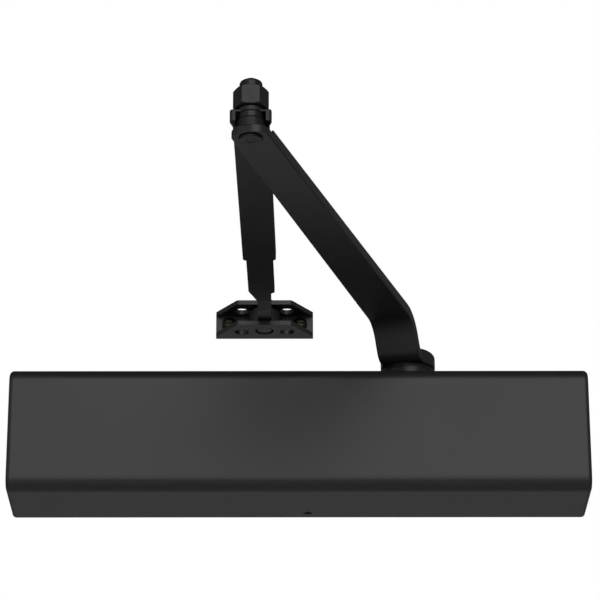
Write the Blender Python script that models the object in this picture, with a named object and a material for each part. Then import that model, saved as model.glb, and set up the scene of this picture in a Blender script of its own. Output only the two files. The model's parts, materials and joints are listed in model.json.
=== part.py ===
"""Hydraulic door closer with a full cover, a cranked main arm, a telescoping forearm and a frame shoe.

Metres, +Z up. The origin is the middle of the cover's height on the door's face, which is the plane
y = 0. The closer stands out towards -Y, and its arm works above it. The door is shown shut.
"""

import math

import bmesh
import bpy
from mathutils import Matrix, Vector

# ---------------------------------------------------------------- driving dimensions
GAP = 0.0003  # clearance between pieces that touch
BEYOND = 0.002  # how far a cutter reaches past the face it opens

COVER_LENGTH = 0.324
COVER_HEIGHT = 0.072
COVER_DEPTH = 0.050
COVER_WALL = 0.0016
COVER_EDGE = 0.008  # radius of the two long front edges
COVER_END_EDGE = 0.0026  # radius round both ends
COVER_BACK = 0.0005  # the cover's rim stops this short of the door
COVER_SCREW_X = 0.005
COVER_SCREW_Y = -0.008
COVER_SCREW_RADIUS = 0.0021
COVER_SCREW_TOP = -0.0208
COVER_SLOT_ROOM = 0.0012  # round the bearing cap's collar

PINION_X = 0.0620
PINION_Y = -0.026
TEETH = 10
MODULE = 0.0016
PITCH_RADIUS = TEETH * MODULE / 2
PRESSURE_ANGLE = math.radians(25)
PINION_ADDENDUM = 0.0014
RACK_ADDENDUM = 0.0012
ROOT_CLEARANCE = 0.0004
BACKLASH = 0.0004
GEAR_HALF_HEIGHT = 0.010
OPENING_TURN = math.radians(170)  # the pinion's turn from door shut to door open
STROKE = PITCH_RADIUS * OPENING_TURN

BORE_RADIUS = 0.0175
TUBE_RADIUS = 0.021
TUBE_LEFT = -0.110
TUBE_RIGHT = 0.122
PAD_THICKNESS = 0.012
PAD_HALF_HEIGHT = 0.018
LUG_THICKNESS = 0.0055
LUG_LENGTH = 0.019
LUG_HOLE_RADIUS = 0.0033
LUG_HOLE_INSET = 0.008  # from the lug's end
LUG_HOLE_Z = 0.0095
TOWER_RADIUS = 0.0175
TOWER_TOP = 0.0332
TOWER_BOTTOM = -0.030
TOWER_BORE = 0.0125
BLOCK_LOW = (-0.006, -0.0145, -0.0335)  # tapped block for the cover's screw
BLOCK_HIGH = (0.006, -0.0012, -0.0165)
MOUNTING_HEAD_RADIUS = 0.0052
MOUNTING_HEAD_HEIGHT = 0.0034

CAP_COLLAR_RADIUS = 0.0157
CAP_COLLAR_TOP = 0.0425
CAP_DEPTH = 0.0152
SHAFT_RADIUS = 0.007
SHAFT_NECK_RADIUS = 0.0062
SEAL_HEIGHT = 0.0042
SEAL_OUTER = 0.0097
SHAFT_BOTTOM = -0.0276
NECK_HALF_HEIGHT = 0.0176  # the shaft is thinner beside its gear
BOTTOM_CAP_RADIUS = 0.015
BOTTOM_CAP_HEIGHT = 0.0033
BOTTOM_CAP_FLOOR = 0.0012

HUB_BOTTOM = 0.0428
HUB_TOP = 0.0521
HUB_RADIUS = 0.0154
SQUARE_SIDE = 0.0116
THREAD_RADIUS = 0.0034
THREAD_DEPTH = 0.016
WASHER_RADIUS = 0.0086
WASHER_HEIGHT = 0.0012
ARM_SCREW_RADIUS = 0.0031
ARM_SCREW_HEAD = 0.0065
ARM_SCREW_HEAD_HEIGHT = 0.0058
ARM_SCREW_LENGTH = 0.014

ELBOW_X = -0.0237
ELBOW_Y = -0.2895
ARM_LENGTH = math.hypot(PINION_X - ELBOW_X, PINION_Y - ELBOW_Y)
ARM_SWING = math.atan2(PINION_X - ELBOW_X, PINION_Y - ELBOW_Y)  # from straight forward towards -X
ARM_THICKNESS = 0.0066
ARM_UNDERSIDE = 0.0607
ARM_WIDTH_ELBOW = 0.0192
ARM_WIDTH_HUB = 0.0243
ARM_REACH = 0.0072  # from the elbow's axis to the arm's end
ARM_END_RADIUS = 0.0078
ARM_EDGE = 0.0011
ARM_STEP_TOP = 0.0645  # the arm is thinned from above round the elbow
ARM_STEP_RADIUS = 0.0115
CRANK_START = 0.0170  # distance from the pinion where the arm starts to rise
CRANK_END = 0.0284
CRANK_LOW_RADIUS = 0.006
CRANK_HIGH_RADIUS = 0.020

STUD_RADIUS = 0.004
STUD_HEAD_RADIUS = 0.006
STUD_HEAD_HEIGHT = 0.001
STUD_TOP = 0.0927
ELBOW_SPACER_RADIUS = 0.0070
ELBOW_SPACER_TOP = 0.0697
ELBOW_BUSH_RADIUS = 0.0065
NUT_CORNER_RADIUS = 0.0089
NUT_FACE_RADIUS = 0.0074  # where the chamfer meets the nut's flat faces
NUT_CHAMFER = 0.0009
NUT_LOW = 0.0763
NUT_HEIGHT = 0.0105
NUT_TURN = math.radians(-12)  # one corner, from the arm's own direction
NUT_COLLAR_RADIUS = 0.0057
NUT_COLLAR_TOP = 0.0915

SHOE_AXIS_X = -0.0197
SHOE_AXIS_Y = -0.012
FOREARM_LENGTH = math.hypot(SHOE_AXIS_X - ELBOW_X, SHOE_AXIS_Y - ELBOW_Y)
FOREARM_TURN = math.atan2(SHOE_AXIS_Y - ELBOW_Y, SHOE_AXIS_X - ELBOW_X)  # measured from +X
SLEEVE_LENGTH = 0.1660
SLEEVE_WIDTH = 0.018
SLEEVE_EAR_WIDTH = 0.0206
SLEEVE_EAR_START = -0.0042  # the ears stand beside the elbow's axis, from here
SLEEVE_EAR_END = -0.0008
SLEEVE_NARROW = 0.0036
SLEEVE_BOTTOM = 0.0683
SLEEVE_HEIGHT = 0.0066
SLEEVE_WALL = 0.00135
SLEEVE_SIDE = 0.0015
SLEEVE_SCREWS = (0.117, 0.146)
SLEEVE_END_RADIUS = 0.0064
SLEEVE_MOUTH = 0.0095  # where the tunnel for the rod starts
PAD_RADIUS = 0.0058
PAD_HEIGHT = 0.0016
CLAMP_HOLE_RADIUS = 0.0028
CLAMP_SCREW_RADIUS = 0.0025
CLAMP_HEAD_RADIUS = 0.0046
CLAMP_HEAD_HEIGHT = 0.0037
ROD_START = 0.072
ROD_WIDTH = 0.0146
ROD_BOTTOM = 0.06995
ROD_THICKNESS = 0.0033
ROD_SHOULDER = 0.2119  # where the rod narrows to its neck
NECK_LEFT = 0.0027
NECK_RIGHT = 0.0051
EYE_RADIUS = 0.0088
EYE_BOTTOM = 0.0763
EYE_HEIGHT = 0.0088

SHOE_WIDTH = 0.0562
SHOE_NEAR_WIDTH = 0.0314
SHOE_BOTTOM = 0.0733
SHOE_HEIGHT = 0.0155
SHOE_WALL = 0.0027
SHOE_DEPTH = 0.021
SHOE_SCREW_X = 0.0205
SHOE_SCREW_HOLE = 0.0033
SHOE_LIGHT_HOLE_X = 0.013
SHOE_LIGHT_HOLE_RADIUS = 0.0041
PIVOT_PIN_RADIUS = 0.0049

PIN_HEAD_RADIUS = 0.0068
PIN_HEAD_HEIGHT = 0.002
SHOE_HEAD_RADIUS = 0.0042
SHOE_HEAD_HEIGHT = 0.0026
SHOE_TIP_DEPTH = 0.0032  # of the web's thin ends
SHOE_LIGHT_HOLE_Y = 0.0105  # from the wall

PLUG_LENGTH = 0.011
GROOVE_DEPTH = 0.0026
GROOVE_HALF_WIDTH = 0.00145
GROOVE_PLACE = 0.007  # from the housing's end
RING_RADIUS = 0.00115
PLUG_FLANGE = 0.004
PLUG_HEX_RADIUS = 0.0185
PLUG_DISH_RADIUS = 0.0095
PLUG_DISH_DEPTH = 0.0012
PISTON_LEFT = 0.040
PISTON_RIGHT = 0.1107
WINDOW_REAR = 0.0102
WINDOW_ROOM = 0.0028  # past the pinion at both ends of its travel
BALL_RADIUS = 0.0027
BALL_POCKET_DEPTH = 0.0072
BALL_POCKET_RADIUS = 0.0033
PASSAGE_RADIUS = 0.0015
PASSAGE_LENGTH = 0.008
SEAT_LEFT = -0.082
SEAT_THICKNESS = 0.0055
SEAT_RADIUS = 0.0164
SPIGOT_LENGTH = 0.006
SPRING_WIRE = 0.00225
SPRING_COIL_RADIUS = 0.013
SPRING_TURNS = 9
ADJUSTER_RADIUS = 0.004
ADJUSTER_LENGTH = 0.0471
ADJUSTER_COLLAR_RADIUS = 0.0065
ADJUSTER_COLLAR_LENGTH = 0.002
VALVE_RADIUS = 0.003
VALVE_LENGTH = 0.016
VALVE_Z = -0.024
VALVE_Y = (-0.019, -0.033)
RIB_LEFT = 0.084
RIB_BOTTOM = -0.031
BACKCHECK_X = 0.094
BACKCHECK_LENGTH = 0.0085
VALVE_RECESS = 0.0008  # the valve heads lie this far inside the housing
VALVE_NEEDLE_RADIUS = 0.0012
VALVE_NEEDLE_LENGTH = 0.003

FINE = 32  # sides of the large round pieces
ROUND = 24
MEDIUM = 18
SMALL = 12


# ---------------------------------------------------------------- modelling helpers
def clear_scene():
    for old in list(bpy.data.objects):
        bpy.data.objects.remove(old)


def make_material(name, colour, metallic, roughness):
    material = bpy.data.materials.new(name)
    material.use_nodes = True
    shader = material.node_tree.nodes["Principled BSDF"]
    shader.inputs["Base Color"].default_value = (*colour, 1)
    shader.inputs["Metallic"].default_value = metallic
    shader.inputs["Roughness"].default_value = roughness
    material.diffuse_color = (*colour, 1)
    return material


def make_axis(name, location, turn=0.0, parent=None):
    """An empty on a joint's axis. Pieces parented to it are modelled round its origin."""
    empty = bpy.data.objects.new(name, None)
    bpy.context.scene.collection.objects.link(empty)
    empty.location = location
    empty.rotation_euler = (0, 0, turn)
    empty.parent = parent
    return empty


def to_object(name, bm, material=None, parent=None):
    bmesh.ops.remove_doubles(bm, verts=bm.verts, dist=1e-7)
    bmesh.ops.recalc_face_normals(bm, faces=bm.faces)
    mesh = bpy.data.meshes.new(name)
    bm.to_mesh(mesh)
    bm.free()
    mesh.shade_smooth()
    mesh.set_sharp_from_angle(angle=math.radians(32))
    piece = bpy.data.objects.new(name, mesh)
    bpy.context.scene.collection.objects.link(piece)
    piece.parent = parent
    if material:
        mesh.materials.append(material)
    return piece


def turned(name, profile, material=None, parent=None, sides=ROUND, axis="Z", centre=(0, 0, 0), start=0.0):
    """A round piece. profile holds (radius, height) points in order round its half section."""
    bm = bmesh.new()
    spoke = Vector((math.cos(start), math.sin(start), 0))
    points = [bm.verts.new(spoke * radius + Vector((0, 0, height))) for radius, height in profile]
    edges = []
    for index, (radius, height) in enumerate(profile):
        after = (index + 1) % len(profile)
        if radius > 0 or profile[after][0] > 0:
            edges.append(bm.edges.new((points[index], points[after])))
    bmesh.ops.spin(
        bm, geom=points + edges, cent=(0, 0, 0), axis=(0, 0, 1), angle=math.tau, steps=sides, use_merge=True
    )
    if axis == "X":
        bmesh.ops.rotate(bm, verts=bm.verts, matrix=Matrix.Rotation(math.pi / 2, 3, "Y"))
    if axis == "Y":
        bmesh.ops.rotate(bm, verts=bm.verts, matrix=Matrix.Rotation(-math.pi / 2, 3, "X"))
    bmesh.ops.translate(bm, verts=bm.verts, vec=centre)
    return to_object(name, bm, material, parent)


def rod_profile(radius, low, high, edge=0.0):
    """Half section of a solid cylinder whose rims are chamfered by edge."""
    if edge == 0:
        return [(0, low), (radius, low), (radius, high), (0, high)]
    return [
        (0, low), (radius - edge, low), (radius, low + edge),
        (radius, high - edge), (radius - edge, high), (0, high),
    ]


def ring_profile(inner, outer, low, high, edge=0.0):
    """Half section of a ring whose outer rims are chamfered by edge."""
    if edge == 0:
        return [(inner, low), (outer, low), (outer, high), (inner, high)]
    return [
        (inner, low), (outer - edge, low), (outer, low + edge), (outer, high - edge), (outer - edge, high),
        (inner, high),
    ]


def rounded(corners, steps=4):
    """An outline whose corners (a, b, radius) are turned into arcs."""
    outline = []
    for index, (a, b, radius) in enumerate(corners):
        here = Vector((a, b))
        if radius == 0:
            outline.append(here)
            continue
        before = Vector(corners[index - 1][:2]) - here
        after = Vector(corners[(index + 1) % len(corners)][:2]) - here
        half = before.angle(after) / 2
        centre = here + (before.normalized() + after.normalized()).normalized() * (radius / math.sin(half))
        first = here + before.normalized() * (radius / math.tan(half)) - centre
        last = here + after.normalized() * (radius / math.tan(half)) - centre
        sweep = first.angle_signed(last)
        for step in range(steps + 1):
            spoke = first.copy()
            spoke.rotate(Matrix.Rotation(-sweep * step / steps, 2))
            outline.append(centre + spoke)
    return outline


def extruded(name, outline, low, high, material=None, parent=None, along="Z"):
    """An outline pulled along an axis: (x, y) along Z, (x, z) along Y, or (y, z) along X."""
    place = {
        "Z": lambda a, b: (a, b, low),
        "Y": lambda a, b: (a, low, b),
        "X": lambda a, b: (low, a, b),
    }[along]
    pull = {"Z": (0, 0, high - low), "Y": (0, high - low, 0), "X": (high - low, 0, 0)}[along]
    bm = bmesh.new()
    face = bm.faces.new([bm.verts.new(place(a, b)) for a, b in outline])
    grown = bmesh.ops.extrude_face_region(bm, geom=[face])["geom"]
    moved = [item for item in grown if isinstance(item, bmesh.types.BMVert)]
    bmesh.ops.translate(bm, verts=moved, vec=pull)
    return to_object(name, bm, material, parent)


def lofted(name, sections, material=None, parent=None):
    """A closed solid through sections that all have the same number of points."""
    bm = bmesh.new()
    loops = [[bm.verts.new(point) for point in section] for section in sections]
    for near, far in zip(loops, loops[1:]):
        for index in range(len(near)):
            after = (index + 1) % len(near)
            bm.faces.new((near[index], near[after], far[after], far[index]))
    bm.faces.new(reversed(loops[0]))
    bm.faces.new(loops[-1])
    return to_object(name, bm, material, parent)


def box(name, low, high, material=None, parent=None):
    outline = [(low[0], low[1]), (high[0], low[1]), (high[0], high[1]), (low[0], high[1])]
    return extruded(name, outline, low[2], high[2], material, parent)


def polygon(sides, radius, start=0.0, centre=(0.0, 0.0)):
    turns = [start + math.tau * side / sides for side in range(sides)]
    return [(centre[0] + radius * math.cos(turn), centre[1] + radius * math.sin(turn)) for turn in turns]


def combine(target, helper, operation):
    modifier = target.modifiers.new(helper.name, "BOOLEAN")
    modifier.operation = operation
    modifier.object = helper
    helper.hide_render = True
    helper.display_type = "WIRE"


def cut(target, *cutters):
    for cutter in cutters:
        combine(target, cutter, "DIFFERENCE")


def join(target, *others):
    for other in others:
        combine(target, other, "UNION")


# ---------------------------------------------------------------- closer body
def make_housing(material):
    axis_yz = (0, PINION_Y, 0)
    housing = turned(
        "housing", rod_profile(TUBE_RADIUS, TUBE_LEFT, TUBE_RIGHT, 0.001), material, sides=FINE, axis="X",
        centre=axis_yz,
    )
    pad = box(
        "housing_pad_form", (TUBE_LEFT + 0.0007, -PAD_THICKNESS, -PAD_HALF_HEIGHT),
        (TUBE_RIGHT - 0.0007, -0.0007, PAD_HALF_HEIGHT - 0.0005),
    )
    lug_ends = (TUBE_LEFT - LUG_LENGTH, TUBE_RIGHT + LUG_LENGTH)
    corner = 0.004
    lug_outline = rounded([
        (lug_ends[0], -PAD_HALF_HEIGHT - 0.0004, corner), (lug_ends[1], -PAD_HALF_HEIGHT - 0.0004, corner),
        (lug_ends[1], PAD_HALF_HEIGHT + 0.0004, corner), (lug_ends[0], PAD_HALF_HEIGHT + 0.0004, corner),
    ])
    lugs = extruded("housing_lug_form", lug_outline, -LUG_THICKNESS, 0, along="Y")
    tower = turned(
        "housing_tower_form", rod_profile(TOWER_RADIUS, TOWER_BOTTOM, TOWER_TOP, 0.0008), sides=FINE,
        centre=(PINION_X, PINION_Y, 0),
    )
    rib_outline = rounded([
        (-0.040, RIB_BOTTOM, corner), (-0.012, RIB_BOTTOM, corner),
        (-0.0115, -0.010, 0), (-0.0395, -0.010, 0),
    ])
    rib = extruded("housing_rib_form", rib_outline, RIB_LEFT, TUBE_RIGHT - 0.0004, along="X")
    block_place = Vector((COVER_SCREW_X, 0, 0))
    block = box(
        "housing_block_form", block_place + Vector(BLOCK_LOW), block_place + Vector(BLOCK_HIGH)
    )
    join(housing, pad, lugs, tower, rib, block)

    bore = turned(
        "housing_bore_form", rod_profile(BORE_RADIUS, TUBE_LEFT - BEYOND, TUBE_RIGHT + BEYOND),
        sides=FINE, axis="X", centre=axis_yz,
    )
    tower_bore = turned(
        "housing_tower_bore_form", rod_profile(TOWER_BORE, TOWER_BOTTOM - BEYOND, TOWER_TOP + BEYOND),
        centre=(PINION_X, PINION_Y, 0), start=math.pi / ROUND / 2,
    )
    join(bore, tower_bore)
    screw_hole = turned(
        "housing_cover_screw_form",
        rod_profile(COVER_SCREW_RADIUS + GAP, BLOCK_LOW[2] - BEYOND, COVER_SCREW_TOP + GAP),
        sides=SMALL, centre=(COVER_SCREW_X, COVER_SCREW_Y, 0),
    )
    cut(housing, bore, screw_hole)
    for index, (x, z) in enumerate(lug_holes()):
        cut(housing, turned(
            f"housing_lug_hole_form_{index}", rod_profile(LUG_HOLE_RADIUS, -LUG_THICKNESS - BEYOND, BEYOND),
            sides=SMALL, axis="Y", centre=(x, 0, z),
        ))
    for index, y in enumerate(VALVE_Y):
        cut(housing, turned(
            f"housing_valve_form_{index}",
            rod_profile(VALVE_RADIUS + GAP, TUBE_RIGHT - VALVE_LENGTH - 2 * GAP, TUBE_RIGHT + BEYOND),
            sides=SMALL, axis="X", centre=(0, y, VALVE_Z),
        ))
    cut(housing, turned(
        "housing_backcheck_form",
        rod_profile(VALVE_RADIUS + GAP, RIB_BOTTOM - BEYOND, RIB_BOTTOM + BACKCHECK_LENGTH + 0.0007),
        sides=SMALL, centre=(BACKCHECK_X, PINION_Y, 0),
    ))
    return housing


def lug_holes():
    """(x, z) of the four mounting holes."""
    columns = (TUBE_LEFT - LUG_LENGTH + LUG_HOLE_INSET, TUBE_RIGHT + LUG_LENGTH - LUG_HOLE_INSET)
    return [(x, z) for x in columns for z in (-LUG_HOLE_Z, LUG_HOLE_Z)]


def cover_section(x, inset):
    """The cover's outer outline at one place along its length, drawn in by inset on three sides."""
    top = COVER_HEIGHT / 2 - inset
    front = -COVER_DEPTH + inset
    edge = COVER_EDGE - inset
    outline = rounded([
        (-COVER_BACK, -top, 0), (front, -top, edge), (front, top, edge), (-COVER_BACK, top, 0),
    ], steps=5)
    return [(x, y, z) for y, z in outline]


def make_cover(material):
    half = COVER_LENGTH / 2
    top = COVER_HEIGHT / 2
    steps = 3
    turns = [math.pi / 2 * step / steps for step in range(steps + 1)]
    ends = [
        (half - COVER_END_EDGE * (1 - math.cos(turn)), COVER_END_EDGE * (1 - math.sin(turn)))
        for turn in turns
    ]
    sections = [cover_section(-x, inset) for x, inset in ends]
    sections += [cover_section(x, inset) for x, inset in reversed(ends)]
    cover = lofted("cover", sections, material)

    inner_edge = COVER_EDGE - COVER_WALL
    inner = rounded([
        (0.004, -top + COVER_WALL, 0), (-COVER_DEPTH + COVER_WALL, -top + COVER_WALL, inner_edge),
        (-COVER_DEPTH + COVER_WALL, top - COVER_WALL, inner_edge), (0.004, top - COVER_WALL, 0),
    ], steps=5)
    hollow = extruded("cover_hollow_form", inner, -half + COVER_WALL, half - COVER_WALL, along="X")
    slot_radius = CAP_COLLAR_RADIUS + COVER_SLOT_ROOM
    turns = [math.pi + math.pi * step / SMALL for step in range(SMALL + 1)]
    slot = [
        (PINION_X + slot_radius * math.cos(turn), PINION_Y + slot_radius * math.sin(turn)) for turn in turns
    ]
    slot += [(PINION_X + slot_radius, 0.004), (PINION_X - slot_radius, 0.004)]
    slot_form = extruded("cover_slot_form", slot, top - COVER_WALL - BEYOND, top + BEYOND)
    screw_form = turned(
        "cover_screw_hole_form",
        rod_profile(COVER_SCREW_RADIUS + GAP, -top - BEYOND, -top + COVER_WALL + BEYOND),
        sides=SMALL, centre=(COVER_SCREW_X, COVER_SCREW_Y, 0),
    )
    cut(cover, hollow, slot_form, screw_form)
    return cover


def make_cover_screw(material):
    """Set screw with a hexagonal socket, sunk just inside the cover's lower face."""
    low = -COVER_HEIGHT / 2 + 0.0004
    screw = turned(
        "cover_screw", rod_profile(COVER_SCREW_RADIUS, low, COVER_SCREW_TOP, 0.0003), material,
        sides=SMALL, centre=(COVER_SCREW_X, COVER_SCREW_Y, 0),
    )
    socket = polygon(6, 0.0012, centre=(COVER_SCREW_X, COVER_SCREW_Y))
    cut(screw, extruded("cover_screw_socket_form", socket, low - BEYOND, low + 0.0025))
    return screw


def make_mounting_screws(material):
    """Pan-head screws in the lugs. They are modelled up to the mounting face."""
    face = -LUG_THICKNESS - GAP
    crown = face - MOUNTING_HEAD_HEIGHT
    head = MOUNTING_HEAD_RADIUS
    stem = LUG_HOLE_RADIUS - GAP
    slot_long = head + BEYOND
    slot_wide = 0.0006
    profile = [
        (0, crown), (head - 0.0018, crown), (head - 0.0004, face - 0.0022), (head, face - 0.001),
        (head, face), (stem, face), (stem, -GAP), (0, -GAP),
    ]
    for index, (x, z) in enumerate(lug_holes(), start=1):
        name = f"mounting_screw_{index}"
        screw = turned(name, profile, material, sides=SMALL, axis="Y", centre=(x, 0, z))
        cut(screw, box(
            name + "_slot_form", (x - slot_long, crown - BEYOND, z - slot_wide),
            (x + slot_long, crown + 0.0012, z + slot_wide),
        ))


def make_bearing_caps(material):
    seat_depth = CAP_DEPTH - SEAL_HEIGHT - 2 * GAP
    flange_low = TOWER_TOP + GAP
    bore = SHAFT_RADIUS + GAP
    body = TOWER_BORE - GAP
    inner_end = flange_low - CAP_DEPTH
    seat_radius = SEAL_OUTER + GAP
    collar = CAP_COLLAR_RADIUS
    top_profile = [
        (bore, flange_low - seat_depth), (seat_radius, flange_low - seat_depth), (seat_radius, inner_end),
        (body, inner_end), (body, flange_low), (collar, flange_low), (collar, CAP_COLLAR_TOP - 0.0022),
        (collar - 0.0005, CAP_COLLAR_TOP - 0.0006), (collar - 0.0012, CAP_COLLAR_TOP), (bore, CAP_COLLAR_TOP),
    ]
    centre = (PINION_X, PINION_Y, 0)
    turned("bearing_cap_top", top_profile, material, centre=centre, sides=FINE)

    top_seat = inner_end
    flange_high = TOWER_BOTTOM - GAP
    floor = flange_high - BOTTOM_CAP_HEIGHT
    bottom_seat = flange_high + CAP_DEPTH - 0.003
    seat_floor = bottom_seat - SEAL_HEIGHT - 2 * GAP
    bore_floor = flange_high + BOTTOM_CAP_FLOOR
    bottom_profile = [
        (0, floor), (BOTTOM_CAP_RADIUS - 0.0005, floor), (BOTTOM_CAP_RADIUS, floor + 0.0005),
        (BOTTOM_CAP_RADIUS, flange_high), (body, flange_high), (body, bottom_seat),
        (seat_radius, bottom_seat), (seat_radius, seat_floor), (bore, seat_floor), (bore, bore_floor),
        (0, bore_floor),
    ]
    turned("bearing_cap_bottom", bottom_profile, material, centre=centre)
    return top_seat, bottom_seat


def make_pinion_seals(material, top_seat, bottom_seat):
    centre = (PINION_X, PINION_Y, 0)
    seals = (
        ("pinion_seal_top", top_seat + GAP, top_seat + SEAL_HEIGHT),
        ("pinion_seal_bottom", bottom_seat - SEAL_HEIGHT, bottom_seat - GAP),
    )
    for name, low, high in seals:
        profile = ring_profile(SHAFT_RADIUS + GAP, SEAL_OUTER, low, high, 0.0004)
        turned(name, profile, material, sides=MEDIUM, centre=centre)


def make_plugs(material, seal_material):
    """Hexagonal end plugs, each with an O-ring in a groove."""
    ends = (
        ("spring_end_plug", "spring_plug_seal", TUBE_LEFT, 1),
        ("valve_end_plug", "valve_plug_seal", TUBE_RIGHT, -1),
    )
    centre = (0, PINION_Y, 0)
    outer = BORE_RADIUS - GAP
    groove_radius = outer - GROOVE_DEPTH
    for name, seal_name, end, inward in ends:
        groove = end + inward * GROOVE_PLACE
        groove_near = groove - inward * GROOVE_HALF_WIDTH
        groove_far = groove + inward * GROOVE_HALF_WIDTH
        plug_near = end - inward * (GAP + 0.0015)
        plug_far = end + inward * PLUG_LENGTH
        plug = turned(name, [
            (0, plug_near), (outer, plug_near), (outer, groove_near), (groove_radius, groove_near),
            (groove_radius, groove_far), (outer, groove_far), (outer, plug_far), (0, plug_far),
        ], material, axis="X", centre=centre)
        hexagon = polygon(6, PLUG_HEX_RADIUS, math.pi / 6, (PINION_Y, 0))
        low, high = sorted((end - inward * GAP, end - inward * (GAP + PLUG_FLANGE)))
        join(plug, extruded(name + "_hex_form", hexagon, low, high, along="X"))
        if inward > 0:
            opening = rod_profile(
                ADJUSTER_RADIUS + GAP, end - PLUG_FLANGE - GAP - BEYOND, plug_far + BEYOND
            )
            cut(plug, turned(name + "_stem_form", opening, sides=SMALL, axis="X", centre=centre))
        else:
            face = end + GAP + PLUG_FLANGE
            opening = rod_profile(PLUG_DISH_RADIUS, face - PLUG_DISH_DEPTH, face + BEYOND)
            cut(plug, turned(name + "_dish_form", opening, sides=MEDIUM, axis="X", centre=centre))
        seal = polygon(6, RING_RADIUS, 0, (groove_radius + GAP + RING_RADIUS, groove))
        turned(seal_name, seal, seal_material, sides=MEDIUM, axis="X", centre=centre)


# ---------------------------------------------------------------- rack and pinion
def pinion_outline():
    """Involute gear outline. One tooth points towards -Y, where the rack is."""
    base = PITCH_RADIUS * math.cos(PRESSURE_ANGLE)
    tip = PITCH_RADIUS + PINION_ADDENDUM
    root = PITCH_RADIUS - RACK_ADDENDUM - ROOT_CLEARANCE
    half_at_pitch = (math.pi * MODULE / 4 - BACKLASH / 2) / PITCH_RADIUS
    start = math.tan(PRESSURE_ANGLE) - PRESSURE_ANGLE

    def half_angle(radius):
        pressure = math.acos(min(1.0, base / radius))
        return half_at_pitch + start - (math.tan(pressure) - pressure)

    steps = 3
    radii = [base + (tip - base) * step / steps for step in range(steps + 1)]
    flank = [(root, half_angle(base))]
    flank += [(radius, half_angle(radius)) for radius in radii]
    outline = []
    for tooth in range(TEETH):
        middle = -math.pi / 2 + math.tau * tooth / TEETH
        side = [(radius, middle - angle) for radius, angle in flank]
        side += [(radius, middle + angle) for radius, angle in reversed(flank)]
        outline += [(radius * math.cos(turn), radius * math.sin(turn)) for radius, turn in side]
    return outline


def window_outline():
    """The piston's window, from above. Its front side is the rack."""
    pitch = math.pi * MODULE
    slope = math.tan(PRESSURE_ANGLE)
    half = pitch / 4 - BACKLASH / 2
    root = -PITCH_RADIUS - PINION_ADDENDUM - ROOT_CLEARANCE
    tip = -PITCH_RADIUS + RACK_ADDENDUM
    left = -PITCH_RADIUS - WINDOW_ROOM
    right = PITCH_RADIUS + STROKE + WINDOW_ROOM
    outline = [(left, root)]
    for tooth in range(-2, 6):
        middle = (tooth + 0.5) * pitch
        wide = half + (-PITCH_RADIUS - root) * slope
        narrow = half - (tip + PITCH_RADIUS) * slope
        outline += [
            (middle - wide, root), (middle - narrow, tip), (middle + narrow, tip), (middle + wide, root)
        ]
    outline += [(right, root), (right, WINDOW_REAR), (left, WINDOW_REAR)]
    return outline


def make_pinion(material, parent):
    square_top = HUB_TOP - 0.0008
    shaft = extruded(
        "pinion_shaft", pinion_outline(), -GEAR_HALF_HEIGHT, GEAR_HALF_HEIGHT, material, parent
    )
    neck = NECK_HALF_HEIGHT
    stem_top = CAP_COLLAR_TOP - 0.0002
    stem = turned("pinion_stem_form", [
        (0, SHAFT_BOTTOM), (SHAFT_RADIUS - 0.0005, SHAFT_BOTTOM), (SHAFT_RADIUS, SHAFT_BOTTOM + 0.0005),
        (SHAFT_RADIUS, -neck), (SHAFT_NECK_RADIUS, -neck), (SHAFT_NECK_RADIUS, neck), (SHAFT_RADIUS, neck),
        (SHAFT_RADIUS, stem_top), (0, stem_top),
    ], parent=parent)
    square = extruded(
        "pinion_square_form", polygon(4, SQUARE_SIDE / math.sqrt(2), math.pi / 4 - ARM_SWING),
        CAP_COLLAR_TOP - 0.004, square_top, parent=parent,
    )
    corners = turned(
        "pinion_corner_form", rod_profile(SHAFT_RADIUS - GAP, CAP_COLLAR_TOP - 0.005, square_top + BEYOND),
        parent=parent,
    )
    combine(square, corners, "INTERSECT")
    join(shaft, stem, square)
    thread = rod_profile(THREAD_RADIUS, square_top - THREAD_DEPTH, square_top + BEYOND)
    cut(shaft, turned("pinion_thread_form", thread, sides=SMALL, parent=parent))
    return shaft


def make_piston(material, parent):
    """The parent axis lies on the pinion's axis, so the window is drawn round it."""
    left = PISTON_LEFT - PINION_X
    right = PISTON_RIGHT - PINION_X
    body = rod_profile(BORE_RADIUS - GAP, left, right, 0.0008)
    piston = turned("piston_rack", body, material, parent, sides=FINE, axis="X")
    reach = BORE_RADIUS + BEYOND
    window = extruded("piston_window_form", window_outline(), -reach, reach, parent=parent)
    ball_seat = right - BALL_POCKET_DEPTH
    pocket_profile = rod_profile(BALL_POCKET_RADIUS, ball_seat, right + BEYOND)
    pocket = turned("piston_ball_form", pocket_profile, sides=SMALL, axis="X", parent=parent)
    passage_profile = rod_profile(PASSAGE_RADIUS, ball_seat - PASSAGE_LENGTH, ball_seat + BEYOND)
    passage = turned("piston_passage_form", passage_profile, sides=SMALL, axis="X", parent=parent)
    cut(piston, window, pocket, passage)
    return ball_seat


def make_check_valve(ball_material, ring_material, parent, ball_seat):
    bm = bmesh.new()
    bmesh.ops.create_uvsphere(bm, u_segments=12, v_segments=8, radius=BALL_RADIUS)
    bmesh.ops.translate(bm, verts=bm.verts, vec=(ball_seat + GAP + BALL_RADIUS, 0, 0))
    to_object("check_ball", bm, ball_material, parent)
    low = ball_seat + 2 * GAP + 2 * BALL_RADIUS
    ring = ring_profile(0.0012, BALL_POCKET_RADIUS - GAP, low, low + 0.0009)
    turned("check_ball_retainer", ring, ring_material, parent, sides=SMALL, axis="X")


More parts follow.
